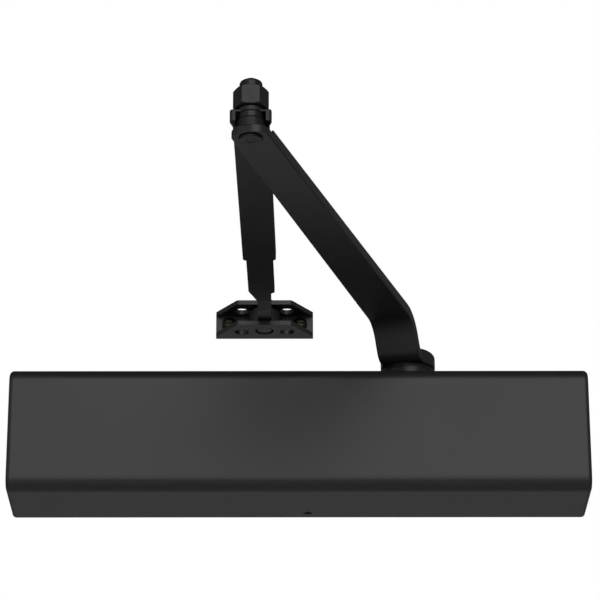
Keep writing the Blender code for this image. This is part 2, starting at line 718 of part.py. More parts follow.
def make_main_spring(material):
    """Closing spring: its end coils lie flat against the seat and the piston."""
    left = SEAT_LEFT + SEAT_THICKNESS + GAP
    right = PISTON_LEFT - GAP
    centre_left = left + SPRING_WIRE
    centre_right = right - SPRING_WIRE
    per_turn = 12
    count = SPRING_TURNS * per_turn
    flat_turns = 1.0
    flat_pitch = 2 * SPRING_WIRE + 0.0004
    rise = centre_right - centre_left - 2 * flat_turns * flat_pitch
    middle_turns = SPRING_TURNS - 2 * flat_turns
    points = []
    for index in range(count + 1):
        turns = SPRING_TURNS * index / count
        if turns <= flat_turns:
            along = turns * flat_pitch
        elif turns >= SPRING_TURNS - flat_turns:
            along = flat_turns * flat_pitch + rise + (turns - SPRING_TURNS + flat_turns) * flat_pitch
        else:
            along = flat_turns * flat_pitch + rise * (turns - flat_turns) / middle_turns
        turn = math.tau * turns
        points.append((
            centre_left + along,
            PINION_Y + SPRING_COIL_RADIUS * math.cos(turn),
            SPRING_COIL_RADIUS * math.sin(turn),
        ))
    curve = bpy.data.curves.new("main_spring", "CURVE")
    curve.dimensions = "3D"
    curve.bevel_depth = SPRING_WIRE
    curve.bevel_resolution = 1
    curve.use_fill_caps = True
    spline = curve.splines.new("POLY")
    spline.points.add(len(points) - 1)
    for point, place in zip(spline.points, points):
        point.co = (*place, 1)
    curve.materials.append(material)
    bpy.context.scene.collection.objects.link(bpy.data.objects.new("main_spring", curve))


def make_spring_seat(material, parent):
    """Travelling nut with a spigot inside the spring's first coil. Modelled round its own axis."""
    hole = ADJUSTER_RADIUS + GAP
    spigot = SPRING_COIL_RADIUS - SPRING_WIRE - 0.0008
    end = SEAT_THICKNESS + SPIGOT_LENGTH
    profile = [
        (hole, 0), (SEAT_RADIUS - 0.0006, 0), (SEAT_RADIUS, 0.0006), (SEAT_RADIUS, SEAT_THICKNESS),
        (spigot, SEAT_THICKNESS), (spigot, end - 0.001), (spigot - 0.001, end), (hole, end),
    ]
    turned("spring_seat", profile, material, parent, axis="X")


def make_spring_adjuster(material, parent):
    """Screw through the plug, held by its collar. Modelled from the plug's outer face."""
    radius = ADJUSTER_RADIUS
    collar_near = PLUG_FLANGE + PLUG_LENGTH + 2 * GAP
    collar_far = collar_near + ADJUSTER_COLLAR_LENGTH
    profile = [
        (0, -0.001), (radius - 0.0005, -0.001), (radius, -0.0005), (radius, collar_near),
        (ADJUSTER_COLLAR_RADIUS, collar_near), (ADJUSTER_COLLAR_RADIUS, collar_far), (radius, collar_far),
        (radius, ADJUSTER_LENGTH - 0.0006), (radius - 0.0006, ADJUSTER_LENGTH), (0, ADJUSTER_LENGTH),
    ]
    screw = turned("spring_adjuster", profile, material, parent, sides=MEDIUM, axis="X")
    socket = polygon(6, 0.0026)
    cut(screw, extruded("adjuster_socket_form", socket, -BEYOND, 0.005, parent=parent, along="X"))


def make_valve(name, material, parent, length, along, inward):
    """Needle screw with a slotted head, which starts at the parent's origin and goes inwards."""
    reach = [
        (0, 0), (VALVE_RADIUS - 0.0004, 0), (VALVE_RADIUS, 0.0004),
        (VALVE_RADIUS, length - VALVE_NEEDLE_LENGTH), (VALVE_NEEDLE_RADIUS, length - GAP), (0, length - GAP),
    ]
    profile = [(radius, inward * depth) for radius, depth in reach]
    valve = turned(name, profile, material, parent, sides=SMALL, axis=along)
    near, far = sorted((-inward * BEYOND, inward * 0.0014))
    long = VALVE_RADIUS + 0.001
    wide = 0.0005
    if along == "X":
        slot_low, slot_high = (near, -wide, -long), (far, wide, long)
    else:
        slot_low, slot_high = (-long, -wide, near), (long, wide, far)
    cut(valve, box(name + "_slot_form", slot_low, slot_high, parent=parent))


# ---------------------------------------------------------------- main arm and elbow
def crank_path():
    """Centre line of the main arm, as (distance from the pinion, height, slope) stations."""
    low = HUB_BOTTOM + ARM_THICKNESS / 2 + 0.0001
    high = ARM_UNDERSIDE + ARM_THICKNESS / 2
    slope = math.atan2(high - low, CRANK_END - CRANK_START)
    steps = 3
    stations = [(0.0, low, 0.0)]
    tangent = CRANK_LOW_RADIUS * math.tan(slope / 2)
    for step in range(steps + 1):
        turn = slope * step / steps
        along = CRANK_START - tangent + CRANK_LOW_RADIUS * math.sin(turn)
        stations.append((along, low + CRANK_LOW_RADIUS * (1 - math.cos(turn)), turn))
    tangent = CRANK_HIGH_RADIUS * math.tan(slope / 2)
    for step in range(steps + 1):
        turn = slope * (1 - step / steps)
        along = CRANK_END + tangent - CRANK_HIGH_RADIUS * math.sin(turn)
        stations.append((along, high - CRANK_HIGH_RADIUS * (1 - math.cos(turn)), turn))
    stations.append((ARM_LENGTH * 0.6, high, 0.0))
    stations.append((ARM_LENGTH + ARM_REACH, high, 0.0))
    return stations


def make_main_arm(material, parent):
    sections = []
    for along, height, slope in crank_path():
        half = (ARM_WIDTH_HUB + (ARM_WIDTH_ELBOW - ARM_WIDTH_HUB) * along / ARM_LENGTH) / 2
        thick = ARM_THICKNESS / 2
        outline = rounded([
            (-half, -thick, ARM_EDGE), (half, -thick, ARM_EDGE),
            (half, thick, ARM_EDGE), (-half, thick, ARM_EDGE),
        ], steps=2)
        sections.append([
            (along - up * math.sin(slope), side, height + up * math.cos(slope)) for side, up in outline
        ])
    arm = lofted("main_arm", sections, material, parent)

    radius = HUB_RADIUS
    hub = turned("arm_hub_form", [
        (0, HUB_BOTTOM), (radius - 0.0008, HUB_BOTTOM), (radius, HUB_BOTTOM + 0.0008),
        (radius, HUB_TOP - 0.003), (radius - 0.0009, HUB_TOP - 0.0009), (radius - 0.003, HUB_TOP),
        (0, HUB_TOP),
    ], sides=FINE, parent=parent)
    end = ARM_LENGTH + ARM_REACH
    half_end = ARM_WIDTH_ELBOW / 2
    behind = HUB_RADIUS + BEYOND
    plan = rounded([
        (-behind, -behind, 0), (end, -half_end, ARM_END_RADIUS), (end, half_end, ARM_END_RADIUS),
        (-behind, behind, 0),
    ], steps=5)
    arm_top = ARM_UNDERSIDE + ARM_THICKNESS
    rounded_end = extruded("arm_plan_form", plan, HUB_BOTTOM - BEYOND, arm_top + BEYOND, parent=parent)
    combine(arm, rounded_end, "INTERSECT")
    join(arm, hub)
    half = SQUARE_SIDE / 2 + GAP
    square = box(
        "arm_square_form", (-half, -half, HUB_BOTTOM - BEYOND), (half, half, HUB_TOP + BEYOND), parent=parent
    )
    elbow = (ARM_LENGTH, 0, 0)
    step = rod_profile(ARM_STEP_RADIUS, ARM_STEP_TOP, arm_top + BEYOND)
    stud_hole = rod_profile(STUD_RADIUS + GAP, ARM_UNDERSIDE - BEYOND, arm_top + BEYOND)
    cut(
        arm, square, turned("arm_step_form", step, centre=elbow, parent=parent),
        turned("arm_stud_form", stud_hole, sides=SMALL, centre=elbow, parent=parent),
    )
    return arm


def make_arm_fasteners(material, parent):
    washer_low = HUB_TOP + GAP
    washer_high = washer_low + WASHER_HEIGHT
    washer = ring_profile(ARM_SCREW_RADIUS + GAP, WASHER_RADIUS, washer_low, washer_high, 0.0003)
    turned("arm_washer", washer, material, parent, sides=MEDIUM)
    head_low = washer_high + GAP
    head_high = head_low + ARM_SCREW_HEAD_HEIGHT
    tip = HUB_TOP - ARM_SCREW_LENGTH
    stem = ARM_SCREW_RADIUS
    head = ARM_SCREW_HEAD
    screw = turned("arm_screw", [
        (0, tip), (stem, tip), (stem, head_low), (head - 0.0003, head_low), (head, head_low + 0.0004),
        (head, head_high - 0.0006), (head - 0.0006, head_high), (0, head_high),
    ], material, parent, sides=MEDIUM)
    socket = polygon(6, 0.0029)
    cut(screw, extruded("arm_screw_socket_form", socket, head_low + 0.002, head_high + BEYOND, parent=parent))


def make_elbow(material, parent):
    """The stud and the pieces stacked on it, round the elbow's axis."""
    elbow = (ARM_LENGTH, 0, 0)
    head_high = ARM_UNDERSIDE - GAP
    head_low = head_high - STUD_HEAD_HEIGHT
    nut_low = NUT_LOW
    nut_high = nut_low + NUT_HEIGHT
    turned("elbow_stud", [
        (0, head_low + 0.0004), (0.0018, head_low + 0.0004), (0.0024, head_low),
        (STUD_HEAD_RADIUS - 0.0007, head_low), (STUD_HEAD_RADIUS, head_low + 0.0005),
        (STUD_HEAD_RADIUS, head_high), (STUD_RADIUS, head_high), (STUD_RADIUS, STUD_TOP - 0.0012),
        (STUD_RADIUS - 0.0013, STUD_TOP), (0, STUD_TOP),
    ], material, parent, sides=MEDIUM, centre=elbow)

    hole = STUD_RADIUS + GAP
    spacer = ring_profile(hole, ELBOW_SPACER_RADIUS, ARM_STEP_TOP + GAP, ELBOW_SPACER_TOP, 0.0003)
    turned("elbow_spacer", spacer, material, parent, centre=elbow)
    web_low = SLEEVE_BOTTOM + SLEEVE_HEIGHT - SLEEVE_WALL
    bush = ring_profile(hole, ELBOW_BUSH_RADIUS, ELBOW_SPACER_TOP + GAP, web_low - GAP, 0.0003)
    turned("elbow_bush", bush, material, parent, sides=MEDIUM, centre=elbow)
    hexagon = polygon(6, NUT_CORNER_RADIUS, NUT_TURN, (ARM_LENGTH, 0))
    nut = extruded("elbow_nut", hexagon, nut_low - BEYOND, nut_high + BEYOND, material, parent)
    outside = NUT_CORNER_RADIUS + 0.0004
    chamfers = turned("nut_chamfer_form", [
        (0, nut_low), (NUT_FACE_RADIUS, nut_low), (outside, nut_low + NUT_CHAMFER),
        (outside, nut_high - NUT_CHAMFER), (NUT_FACE_RADIUS, nut_high), (0, nut_high),
    ], sides=FINE, centre=elbow, parent=parent)
    combine(nut, chamfers, "INTERSECT")
    radius = NUT_COLLAR_RADIUS
    top = NUT_COLLAR_TOP
    collar = turned("nut_collar_form", [
        (0, nut_high - 0.001), (radius, nut_high - 0.001), (radius, top - 0.0016),
        (radius - 0.0004, top - 0.0007), (radius - 0.0011, top), (0, top),
    ], centre=elbow, parent=parent)
    join(nut, collar)
    bore = rod_profile(hole, nut_low - BEYOND, top + BEYOND)
    cut(nut, turned("nut_hole_form", bore, sides=MEDIUM, centre=elbow, parent=parent))


# ---------------------------------------------------------------- forearm
def make_sleeve(material, parent):
    half = SLEEVE_WIDTH / 2
    ear = SLEEVE_EAR_WIDTH / 2
    top = SLEEVE_BOTTOM + SLEEVE_HEIGHT
    corner = 0.0016
    outline = rounded([
        (SLEEVE_EAR_START, -ear, 0.0016), (SLEEVE_EAR_END, -ear, 0.001), (SLEEVE_NARROW, -half, 0.002),
        (SLEEVE_LENGTH, -half, corner), (SLEEVE_LENGTH, half, corner), (SLEEVE_NARROW, half, 0.002),
        (SLEEVE_EAR_END, ear, 0.001), (SLEEVE_EAR_START, ear, 0.0016),
    ], steps=3)
    sleeve = extruded("forearm_sleeve", outline, SLEEVE_BOTTOM, top, material, parent)
    bevel = sleeve.modifiers.new("soft_edges", "BEVEL")
    bevel.width = 0.0005
    bevel.segments = 1
    bevel.angle_limit = math.radians(60)
    end_profile = rod_profile(SLEEVE_END_RADIUS, top - 2 * SLEEVE_WALL, NUT_LOW - GAP)
    join(sleeve, turned("sleeve_end_form", end_profile, parent=parent))
    pad = rod_profile(PAD_RADIUS, top - 0.0005, top + PAD_HEIGHT, 0.0004)
    for index, x in enumerate(SLEEVE_SCREWS):
        place = (x, 0, 0)
        join(sleeve, turned(f"sleeve_pad_form_{index}", pad, sides=MEDIUM, centre=place, parent=parent))
    inner = ROD_WIDTH / 2 + GAP
    tunnel = box(
        "sleeve_tunnel_form", (SLEEVE_MOUTH - 0.001, -inner, SLEEVE_BOTTOM + SLEEVE_WALL),
        (SLEEVE_LENGTH + BEYOND, inner, top - SLEEVE_WALL), parent=parent,
    )
    side = half - SLEEVE_SIDE
    elbow_room = box(
        "sleeve_elbow_form", (-SLEEVE_END_RADIUS - BEYOND, -side, SLEEVE_BOTTOM - BEYOND),
        (SLEEVE_MOUTH, side, top - SLEEVE_WALL), parent=parent,
    )
    stud_profile = rod_profile(STUD_RADIUS + GAP, SLEEVE_BOTTOM, NUT_LOW + BEYOND)
    stud_hole = turned("sleeve_stud_form", stud_profile, sides=SMALL, parent=parent)
    join(elbow_room, tunnel)
    cut(sleeve, elbow_room, stud_hole)
    screw_hole = rod_profile(CLAMP_HOLE_RADIUS, top - SLEEVE_WALL - BEYOND, top + PAD_HEIGHT + BEYOND)
    for index, x in enumerate(SLEEVE_SCREWS):
        place = (x, 0, 0)
        form = turned(f"sleeve_screw_form_{index}", screw_hole, sides=MEDIUM, centre=place, parent=parent)
        cut(sleeve, form)


def make_sleeve_screws(material, parent):
    """Hexagon screws that clamp the rod inside the sleeve."""
    tip = ROD_BOTTOM + ROD_THICKNESS + GAP
    head_low = SLEEVE_BOTTOM + SLEEVE_HEIGHT + PAD_HEIGHT + GAP
    head_high = head_low + CLAMP_HEAD_HEIGHT
    wide = CLAMP_HEAD_RADIUS + 0.0004
    stem = rod_profile(CLAMP_SCREW_RADIUS, tip, head_low + 0.001)
    for name, x in zip(("sleeve_screw_front", "sleeve_screw_rear"), SLEEVE_SCREWS):
        centre = (x, 0, 0)
        screw = turned(name, stem, material, parent, sides=SMALL, centre=centre)
        outline = polygon(6, CLAMP_HEAD_RADIUS, 0, (x, 0))
        hexagon = extruded(name + "_hex_form", outline, head_low, head_high - 0.0001, parent=parent)
        crown = turned(name + "_crown_form", [
            (0, head_low - 0.0005), (wide, head_low - 0.0005), (wide, head_high - 0.001),
            (wide - 0.0012, head_high), (0, head_high),
        ], sides=MEDIUM, centre=centre, parent=parent)
        combine(hexagon, crown, "INTERSECT")
        join(screw, hexagon)


def make_rod(material, parent):
    """Flat bar, then a narrow neck that rises to the eye. It slides along the sleeve."""
    half = ROD_WIDTH / 2
    shoulder = ROD_SHOULDER
    rise_start = shoulder + 0.014
    rise_end = FOREARM_LENGTH - 0.0235
    plan = rounded([
        (ROD_START, -half, 0.001), (shoulder + 0.0015, -half, 0.001), (shoulder + 0.0035, -NECK_RIGHT, 0.001),
        (FOREARM_LENGTH, -NECK_RIGHT + 0.001, 0), (FOREARM_LENGTH, NECK_LEFT + 0.001, 0),
        (rise_start, NECK_LEFT, 0.007), (shoulder, half, 0.002), (ROD_START, half, 0.001),
    ], steps=4)
    low = ROD_BOTTOM
    high = low + ROD_THICKNESS
    start = ROD_START - BEYOND
    end = FOREARM_LENGTH + 0.001
    eye_low = EYE_BOTTOM + 0.0002
    eye_high = EYE_BOTTOM + EYE_HEIGHT - 0.0002
    side = rounded([
        (start, low, 0), (rise_start, low, 0.015), (rise_end, eye_low, 0.012), (end, eye_low, 0),
        (end, eye_high, 0), (rise_end - 0.004, eye_high, 0.012), (rise_start - 0.008, high, 0.012),
        (start, high, 0),
    ], steps=4)
    rod = extruded("forearm_rod", side, -half - BEYOND, half + BEYOND, material, parent, along="Y")
    plan_form = extruded("rod_plan_form", plan, low - BEYOND, eye_high + BEYOND, parent=parent)
    combine(rod, plan_form, "INTERSECT")
    centre = (FOREARM_LENGTH, 0, 0)
    eye = turned(
        "rod_eye_form", rod_profile(EYE_RADIUS, EYE_BOTTOM, EYE_BOTTOM + EYE_HEIGHT, 0.0006), centre=centre,
        parent=parent,
    )
    join(rod, eye)
    eye_hole = rod_profile(PIVOT_PIN_RADIUS + GAP, EYE_BOTTOM - BEYOND, EYE_BOTTOM + EYE_HEIGHT + BEYOND)
    cut(rod, turned("rod_eye_hole_form", eye_hole, sides=MEDIUM, centre=centre, parent=parent))


# ---------------------------------------------------------------- frame shoe
def make_shoe(material, parent):
    """Channel bracket, modelled round the pivot's axis. Its web lies on the door frame."""
    wall_face = -SHOE_AXIS_Y
    near = wall_face - SHOE_DEPTH
    half = SHOE_WIDTH / 2
    near_half = SHOE_NEAR_WIDTH / 2
    top = SHOE_BOTTOM + SHOE_HEIGHT
    tip = wall_face - SHOE_TIP_DEPTH
    outline = rounded([
        (-half, wall_face, 0), (-half, tip, 0.0012), (-near_half, near, 0.0022),
        (near_half, near, 0.0022), (half, tip, 0.0012), (half, wall_face, 0),
    ], steps=3)
    shoe = extruded("shoe_bracket", outline, SHOE_BOTTOM, top, material, parent)
    channel = box(
        "shoe_channel_form", (-half - BEYOND, near - BEYOND, SHOE_BOTTOM + SHOE_WALL),
        (half + BEYOND, wall_face - SHOE_WALL, top - SHOE_WALL), parent=parent,
    )
    bevel = shoe.modifiers.new("soft_edges", "BEVEL")
    bevel.width = 0.0006
    bevel.segments = 1
    bevel.angle_limit = math.radians(50)
    through = (SHOE_BOTTOM - BEYOND, top + BEYOND)
    pivot_profile = rod_profile(PIVOT_PIN_RADIUS + GAP, *through)
    pivot = turned("shoe_pivot_form", pivot_profile, sides=MEDIUM, parent=parent)
    cut(shoe, channel, pivot)
    light_profile = rod_profile(SHOE_LIGHT_HOLE_RADIUS, *through)
    screw_profile = rod_profile(SHOE_SCREW_HOLE, wall_face - SHOE_WALL - BEYOND, wall_face + BEYOND)
    for index, side in enumerate((-1, 1)):
        light = turned(
            f"shoe_light_form_{index}", light_profile, sides=MEDIUM,
            centre=(side * SHOE_LIGHT_HOLE_X, wall_face - SHOE_LIGHT_HOLE_Y, 0), parent=parent,
        )
        screw = turned(
            f"shoe_screw_form_{index}", screw_profile, sides=SMALL, axis="Y",
            centre=(side * SHOE_SCREW_X, 0, SHOE_BOTTOM + SHOE_HEIGHT / 2), parent=parent,
        )
        cut(shoe, light, screw)


def make_shoe_fasteners(pin_material, screw_material, parent):
    top = SHOE_BOTTOM + SHOE_HEIGHT
    radius = PIVOT_PIN_RADIUS
    low = SHOE_BOTTOM + 0.0004
    head_low = top + GAP
    head_high = head_low + PIN_HEAD_HEIGHT
    turned("shoe_pivot_pin", [
        (0, low), (0.0022, low + 0.0001), (radius - 0.0012, low + 0.0006), (radius, low + 0.0016),
        (radius, head_low), (PIN_HEAD_RADIUS, head_low), (PIN_HEAD_RADIUS, head_high - 0.0008),
        (PIN_HEAD_RADIUS - 0.0008, head_high), (0, head_high),
    ], pin_material, parent, sides=MEDIUM)
    wall_face = -SHOE_AXIS_Y
    face = wall_face - SHOE_WALL - GAP
    crown = face - SHOE_HEAD_HEIGHT
    head = SHOE_HEAD_RADIUS
    stem = SHOE_SCREW_HOLE - GAP
    height = SHOE_BOTTOM + SHOE_HEIGHT / 2
    profile = [
        (0, crown), (0.0022, crown + 0.0001), (head - 0.0008, crown + 0.0009), (head, crown + 0.002),
        (head, face), (stem, face), (stem, wall_face - GAP), (0, wall_face - GAP),
    ]
    long = 0.0024
    wide = 0.0005
    for name, side in (("shoe_screw_left", -1), ("shoe_screw_right", 1)):
        x = side * SHOE_SCREW_X
        screw = turned(name, profile, screw_material, parent, sides=SMALL, axis="Y", centre=(x, 0, height))
        for index, (across, up) in enumerate(((long, wide), (wide, long))):
            cut(screw, box(
                f"{name}_cross_form_{index}", (x - across, crown - BEYOND, height - up),
                (x + across, crown + 0.0014, height + up), parent=parent,
            ))


# ---------------------------------------------------------------- the closer
def main():
    clear_scene()
    black_paint = make_material("black_paint", (0.016, 0.016, 0.017), 0.0, 0.42)
    black_steel = make_material("black_steel", (0.012, 0.012, 0.013), 0.6, 0.4)
    cast_body = make_material("cast_body", (0.42, 0.43, 0.44), 1.0, 0.5)
    bright_steel = make_material("bright_steel", (0.55, 0.55, 0.56), 1.0, 0.3)
    spring_steel = make_material("spring_steel", (0.12, 0.11, 0.10), 1.0, 0.4)
    plated_screw = make_material("plated_screw", (0.42, 0.34, 0.16), 1.0, 0.35)
    seal_rubber = make_material("seal_rubber", (0.02, 0.02, 0.02), 0.0, 0.7)

    arm_axis = make_axis("pinion_axis", (PINION_X, PINION_Y, 0))
    arm_line = make_axis("main_arm_line", (0, 0, 0), -math.pi / 2 - ARM_SWING, arm_axis)
    forearm_axis = make_axis(
        "elbow_axis", (ARM_LENGTH, 0, 0), FOREARM_TURN + math.pi / 2 + ARM_SWING, arm_line
    )
    shoe_axis = make_axis("shoe_axis", (FOREARM_LENGTH, 0, 0), -FOREARM_TURN, forearm_axis)
    piston_axis = make_axis("piston_axis", (PINION_X, PINION_Y, 0))
    seat_axis = make_axis("spring_seat_axis", (SEAT_LEFT, PINION_Y, 0))
    adjuster_axis = make_axis("spring_adjuster_axis", (TUBE_LEFT - GAP - PLUG_FLANGE, PINION_Y, 0))

    make_housing(cast_body)
    make_cover(black_paint)
    make_cover_screw(black_steel)
    make_mounting_screws(bright_steel)
    top_seat, bottom_seat = make_bearing_caps(black_steel)
    make_pinion_seals(seal_rubber, top_seat, bottom_seat)
    make_plugs(bright_steel, seal_rubber)

    make_pinion(bright_steel, arm_axis)
    ball_seat = make_piston(bright_steel, piston_axis)
    make_check_valve(bright_steel, bright_steel, piston_axis, ball_seat)
    make_main_spring(spring_steel)
    make_spring_seat(bright_steel, seat_axis)
    make_spring_adjuster(bright_steel, adjuster_axis)
    valve_face = TUBE_RIGHT - VALVE_RECESS
    for name, y in zip(("sweep_valve", "latch_valve"), VALVE_Y):
        axis = make_axis(name + "_axis", (valve_face, y, VALVE_Z))
        make_valve(name, bright_steel, axis, VALVE_LENGTH - VALVE_RECESS, "X", -1)
    backcheck_axis = make_axis("backcheck_valve_axis", (BACKCHECK_X, PINION_Y, RIB_BOTTOM + 0.0005))
    make_valve("backcheck_valve", bright_steel, backcheck_axis, BACKCHECK_LENGTH, "Z", 1)

    make_main_arm(black_paint, arm_line)
    make_arm_fasteners(black_steel, arm_line)
    make_elbow(black_steel, arm_line)
    make_sleeve(black_paint, forearm_axis)
    make_sleeve_screws(black_steel, forearm_axis)
    make_rod(black_paint, forearm_axis)
    make_shoe(black_paint, shoe_axis)
    make_shoe_fasteners(black_steel, plated_screw, shoe_axis)


main()
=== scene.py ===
"""Looks of a surface-mounted door closer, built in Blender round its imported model.

Metres, +Z up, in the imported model's frame: the door is the plane y = 0 and the closer stands out
towards -Y. Round pieces are turned, flat ones are lofted or extruded, and all of them lie where the
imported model's nodes and joints are.
"""

import json
import math

import bmesh
import bpy
from mathutils import Matrix, Vector


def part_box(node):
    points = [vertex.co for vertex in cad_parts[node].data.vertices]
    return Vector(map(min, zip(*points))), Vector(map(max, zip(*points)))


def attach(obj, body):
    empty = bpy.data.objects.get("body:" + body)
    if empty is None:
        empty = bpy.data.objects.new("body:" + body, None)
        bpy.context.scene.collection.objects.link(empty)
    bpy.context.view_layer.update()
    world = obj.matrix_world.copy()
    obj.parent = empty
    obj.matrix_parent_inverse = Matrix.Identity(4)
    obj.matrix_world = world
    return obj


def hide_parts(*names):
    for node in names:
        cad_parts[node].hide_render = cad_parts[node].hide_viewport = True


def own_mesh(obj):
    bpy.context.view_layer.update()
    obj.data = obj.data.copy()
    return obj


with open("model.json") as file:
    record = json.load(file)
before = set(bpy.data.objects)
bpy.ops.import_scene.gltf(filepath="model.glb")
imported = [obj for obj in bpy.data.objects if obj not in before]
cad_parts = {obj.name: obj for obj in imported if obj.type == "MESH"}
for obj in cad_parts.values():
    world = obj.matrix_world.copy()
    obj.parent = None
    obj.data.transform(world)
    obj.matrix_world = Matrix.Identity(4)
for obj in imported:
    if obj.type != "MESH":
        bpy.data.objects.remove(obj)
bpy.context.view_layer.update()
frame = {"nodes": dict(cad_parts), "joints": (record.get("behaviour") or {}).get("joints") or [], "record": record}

# ---- places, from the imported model
JOINTS = {joint["name"]: joint for joint in frame["joints"]}


def node_centre(node):
    low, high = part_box(node)
    return (low + high) / 2


def level_frame(start, end):
    """A frame at start, on the level z = 0, whose x axis points at end."""
    turn = math.atan2(end[1] - start[1], end[0] - start[0])
    return Matrix.Translation((start[0], start[1], 0)) @ Matrix.Rotation(turn, 4, "Z")


PINION = Vector(JOINTS["pinion_turn"]["pos_m"])
ELBOW = Vector(JOINTS["elbow_turn"]["pos_m"])
PIVOT = Vector(JOINTS["shoe_turn"]["pos_m"])
PINION_FRAME, ELBOW_FRAME, PIVOT_FRAME = [
    Matrix.Translation((place.x, place.y, 0)) for place in (PINION, ELBOW, PIVOT)
]
ARM_FRAME = level_frame(PINION, ELBOW)
FOREARM_FRAME = level_frame(ELBOW, PIVOT)
ARM_TURN = ARM_FRAME.to_3x3().to_4x4()
ARM_LENGTH = (ELBOW - PINION).xy.length
FOREARM_LENGTH = (PIVOT - ELBOW).xy.length
CYLINDER_Y = node_centre("piston_rack").y

GAP = 0.0003  # clearance between pieces that touch
BEYOND = 0.002  # how far a cutter reaches past the face it opens
OVERLAP = 0.0005  # how deep a joined shape sinks into its neighbour
OUTSIDE = 0.0004  # how far a shape that trims corners off stands outside them
MANY_SIDES = 96  # sides of the larger round pieces
FEW_SIDES = 48  # and of the smaller ones
SHARP = math.radians(34)  # faces that meet at more than this stay sharp


# ---- modelling helpers
# A corner is (a, b, fillet): two places in the outline's plane, and the radius it is rounded to.
MERGE = 1e-7  # points nearer than this become one


def in_scene(name, data):
    thing = bpy.data.objects.new(name, data)
    bpy.context.scene.collection.objects.link(thing)
    return thing


def to_piece(name, bm):
    bmesh.ops.remove_doubles(bm, verts=bm.verts, dist=MERGE)
    bmesh.ops.recalc_face_normals(bm, faces=bm.faces)
    mesh = bpy.data.meshes.new(name)
    bm.to_mesh(mesh)
    bm.free()
    return in_scene(name, mesh)


def rounded(corners, steps=4):
    """An outline whose corners are turned into arcs."""
    outline = []
    for index, (a, b, radius) in enumerate(corners):
        here = Vector((a, b))
        if radius == 0:
            outline.append(here)
            continue
        before = Vector(corners[index - 1][:2]) - here
        after = Vector(corners[(index + 1) % len(corners)][:2]) - here
        half = before.angle(after) / 2
        centre = here + (before.normalized() + after.normalized()).normalized() * (radius / math.sin(half))
        first = here + before.normalized() * (radius / math.tan(half)) - centre
        last = here + after.normalized() * (radius / math.tan(half)) - centre
        sweep = first.angle_signed(last)
        for step in range(steps + 1):
            spoke = first.copy()
            spoke.rotate(Matrix.Rotation(-sweep * step / steps, 2))
            outline.append(centre + spoke)
    return outline


def rod_corners(radius, low, high, edge):
    return [(0, low, 0), (radius, low, edge), (radius, high, edge), (0, high, 0)]


def ring_corners(inner, outer, low, high, edge, inner_edge):
    return [(inner, low, inner_edge), (outer, low, edge), (outer, high, edge), (inner, high, inner_edge)]


def turned(name, corners, sides=MANY_SIDES, axis="Z", centre=(0, 0, 0), start=0.0, steps=4):
    """A round piece. corners are (radius, height, fillet) in order round its half section."""
    profile = rounded(corners, steps)
    bm = bmesh.new()
    spoke = Vector((math.cos(start), math.sin(start), 0))
    points = [bm.verts.new(spoke * radius + Vector((0, 0, height))) for radius, height in profile]
    edges = []
    for index, (radius, height) in enumerate(profile):
        after = (index + 1) % len(profile)
        if radius > 0 or profile[after][0] > 0:
            edges.append(bm.edges.new((points[index], points[after])))
    bmesh.ops.spin(
        bm, geom=points + edges, cent=(0, 0, 0), axis=(0, 0, 1), angle=math.tau, steps=sides, use_merge=True
    )
    if axis == "X":
        bmesh.ops.rotate(bm, verts=bm.verts, matrix=Matrix.Rotation(math.pi / 2, 3, "Y"))
    if axis == "Y":
        bmesh.ops.rotate(bm, verts=bm.verts, matrix=Matrix.Rotation(-math.pi / 2, 3, "X"))
    bmesh.ops.translate(bm, verts=bm.verts, vec=centre)
    return to_piece(name, bm)


def drill(radius, low, high, axis="Z", centre=(0, 0, 0), sides=FEW_SIDES, start=0.0):
    """A cutter for a round hole that reaches from low to high along its axis."""
    return turned("drill", rod_corners(radius, low, high, 0), sides, axis, centre, start)


def extruded(name, outline, low, high, along="Z"):
    """An outline pulled along an axis: (x, y) along Z, (x, z) along Y, or (y, z) along X."""
    place = {
        "Z": lambda a, b: (a, b, low),
        "Y": lambda a, b: (a, low, b),
        "X": lambda a, b: (low, a, b),
    }[along]
    pull = {"Z": (0, 0, high - low), "Y": (0, high - low, 0), "X": (high - low, 0, 0)}[along]
    bm = bmesh.new()
    face = bm.faces.new([bm.verts.new(place(a, b)) for a, b in outline])
    grown = bmesh.ops.extrude_face_region(bm, geom=[face])["geom"]
    bmesh.ops.translate(bm, verts=[item for item in grown if isinstance(item, bmesh.types.BMVert)], vec=pull)
    return to_piece(name, bm)


def block(name, low, high):
    outline = [(low[0], low[1]), (high[0], low[1]), (high[0], high[1]), (low[0], high[1])]
    return extruded(name, outline, low[2], high[2])


def lofted(name, sections):
    """A closed solid through sections that all have the same number of points."""
    bm = bmesh.new()
    loops = [[bm.verts.new(point) for point in section] for section in sections]
    for near, far in zip(loops, loops[1:]):
        for index in range(len(near)):
            after = (index + 1) % len(near)
            bm.faces.new((near[index], near[after], far[after], far[index]))
    bm.faces.new(reversed(loops[0]))
    bm.faces.new(loops[-1])
    return to_piece(name, bm)


def polygon(sides, radius, start=0.0, centre=(0.0, 0.0)):
    turns = [start + math.tau * side / sides for side in range(sides)]
    return [(centre[0] + radius * math.cos(turn), centre[1] + radius * math.sin(turn)) for turn in turns]


def bake_modifiers(piece):
    graph = bpy.context.evaluated_depsgraph_get()
    mesh = bpy.data.meshes.new_from_object(piece.evaluated_get(graph))
    plain = piece.data
    piece.modifiers.clear()
    piece.data = mesh
    bpy.data.meshes.remove(plain)


def combine(target, helpers, operation):
    for helper in helpers:
        modifier = target.modifiers.new(helper.name, "BOOLEAN")
        modifier.operation = operation
        modifier.object = helper
    bake_modifiers(target)
    for helper in helpers:
        bpy.data.objects.remove(helper)


def cut(target, *cutters):
    combine(target, cutters, "DIFFERENCE")


def join(target, *others):
    combine(target, others, "UNION")


